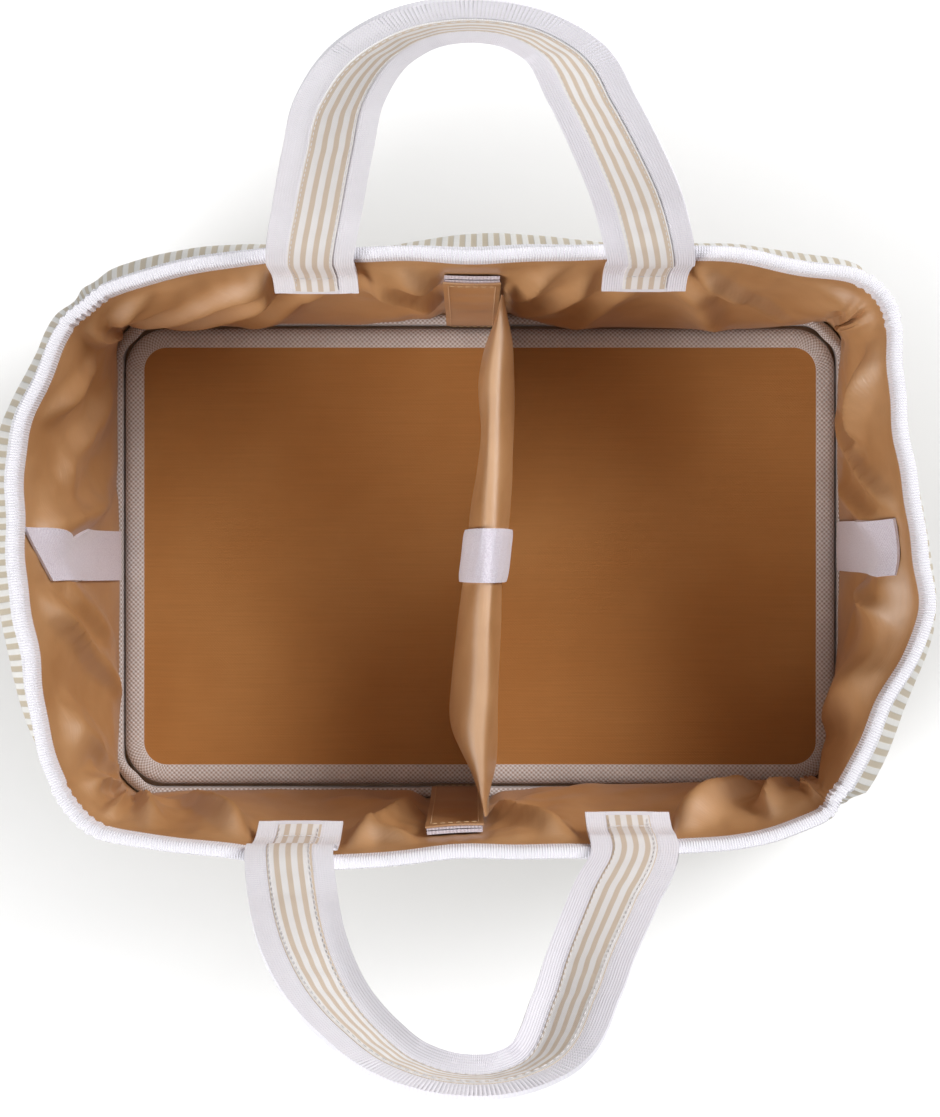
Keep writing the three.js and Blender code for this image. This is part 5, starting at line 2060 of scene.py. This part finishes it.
class CADDY_OT_stage(bpy.types.Operator):
    """Make the pale floor, the soft studio light and the camera above the bag"""

    bl_idname = "caddy.stage"
    bl_label = "Floor, light and camera"

    def execute(self, context):
        self.floor()
        self.world(context.scene)
        for lamp in LAMPS:
            self.lamp(*lamp)
        self.camera(context.scene)
        context.scene.view_settings.view_transform = "Standard"
        return {"FINISHED"}

    def floor(self):
        """White floor that keeps the bag's soft shadow and glows further out."""
        clear_selection()
        bpy.ops.mesh.primitive_plane_add(size=STAGE_SIZE, location=(0, 0, STAGE_LEVEL))
        floor = bpy.context.object
        floor.name = "floor"
        material = bpy.data.materials.new("pale_floor")
        material.use_nodes = True
        tree = material.node_tree
        tree.nodes.remove(tree.nodes["Principled BSDF"])
        place = object_place(tree)
        dark, light = (opaque(tone) for tone in STAGE_TONES)
        tone = mix_colour(tree, noise(tree, place, 3.0, 2.0), dark, light)
        matt = put(tree, "ShaderNodeBsdfDiffuse", [("Color", tone)])
        squeezed = put(tree, "ShaderNodeMapping", [("Vector", place), ("Scale", GLOW_SQUEEZE)]).outputs[0]
        away = put(tree, "ShaderNodeVectorMath", [(0, squeezed)], operation="LENGTH").outputs["Value"]
        far = put(tree, "ShaderNodeMapRange", [(0, away), *enumerate(GLOW_RANGE, 1)]).outputs[0]
        seen = maths(tree, "MULTIPLY", self.seen_ray(tree), far)
        glow = put(tree, "ShaderNodeEmission", [("Color", WHITE), ("Strength", seen)])
        both = put(tree, "ShaderNodeAddShader", [(0, matt.outputs[0]), (1, glow.outputs[0])])
        tree.links.new(both.outputs[0], tree.nodes["Material Output"].inputs["Surface"])
        floor.data.materials.append(material)
        floor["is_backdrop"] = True

    def seen_ray(self, tree):
        """One for rays that show the background, also in gloss, and none for rays that light the bag."""
        path = put(tree, "ShaderNodeLightPath").outputs
        mirrored = maths(tree, "MAXIMUM", path["Is Glossy Ray"], path["Is Transmission Ray"])
        return maths(tree, "MAXIMUM", path["Is Camera Ray"], mirrored)

    def world(self, scene):
        """White surroundings that give an even light."""
        world = bpy.data.worlds.new("studio")
        scene.world = world
        world.use_nodes = True
        tree = world.node_tree
        background = tree.nodes["Background"]
        background.inputs["Color"].default_value = WHITE
        strength = maths(tree, "MULTIPLY_ADD", self.seen_ray(tree), 1 - WORLD_LIGHT, WORLD_LIGHT)
        tree.links.new(strength, background.inputs["Strength"])

    def lamp(self, name, place, power):
        """Soft square lamp that faces the bag."""
        data = bpy.data.lights.new(name, "AREA")
        data.size = LAMP_SIZE
        data.energy = power
        lamp = bpy.data.objects.new(name, data)
        bpy.context.collection.objects.link(lamp)
        lamp.location = place
        lamp.rotation_mode = "QUATERNION"
        lamp.rotation_quaternion = (Vector(LAMP_AIM) - Vector(place)).to_track_quat("-Z", "Y")

    def camera(self, scene):
        """Camera that looks straight down on the bag."""
        data = bpy.data.cameras.new("camera")
        data.sensor_width = SENSOR
        data.lens = PHOTO_FOCAL * SENSOR / PHOTO_HEIGHT
        camera = bpy.data.objects.new("camera", data)
        bpy.context.collection.objects.link(camera)
        camera.location = CAMERA_PLACE
        scene.camera = camera


class CADDY_PT_panel(bpy.types.Panel):
    """Buttons and sizes of the caddy"""

    bl_label = "Diaper caddy"
    bl_idname = "CADDY_PT_panel"
    bl_space_type = "VIEW_3D"
    bl_region_type = "UI"
    bl_category = "Caddy"

    def draw(self, context):
        column = self.layout.column(align=True)
        for operator in OPERATORS:
            column.operator(operator.bl_idname)
        for group in (context.scene.caddy_sizes, context.scene.caddy_colours):
            box = self.layout.box()
            for name in group.__annotations__:
                box.prop(group, name)


OPERATORS = (
    CADDY_OT_outer_cloth,
    CADDY_OT_lining,
    CADDY_OT_bindings,
    CADDY_OT_end_strips,
    CADDY_OT_handles,
    CADDY_OT_insert,
    CADDY_OT_divider,
    CADDY_OT_tabs,
    CADDY_OT_stage,
)
CLASSES = (CaddySizes, CaddyColours, *OPERATORS, CADDY_PT_panel)


def register():
    """Registers the classes and the caddy's values."""
    for each in CLASSES:
        bpy.utils.register_class(each)
    bpy.types.Scene.caddy_sizes = bpy.props.PointerProperty(type=CaddySizes)
    bpy.types.Scene.caddy_colours = bpy.props.PointerProperty(type=CaddyColours)


def unregister():
    """Removes the classes and the caddy's values."""
    del bpy.types.Scene.caddy_colours
    del bpy.types.Scene.caddy_sizes
    for each in reversed(CLASSES):
        bpy.utils.unregister_class(each)


def main():
    """Makes the whole caddy."""
    register()
    for operator in OPERATORS:
        group, name = operator.bl_idname.split(".")
        getattr(getattr(bpy.ops, group), name)()
    boxes = {"cad": CAD_BOX, "visual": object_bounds()}
    {key: [list(corner) for corner in box] for key, box in boxes.items()}


if __name__ == "__main__":
    main()
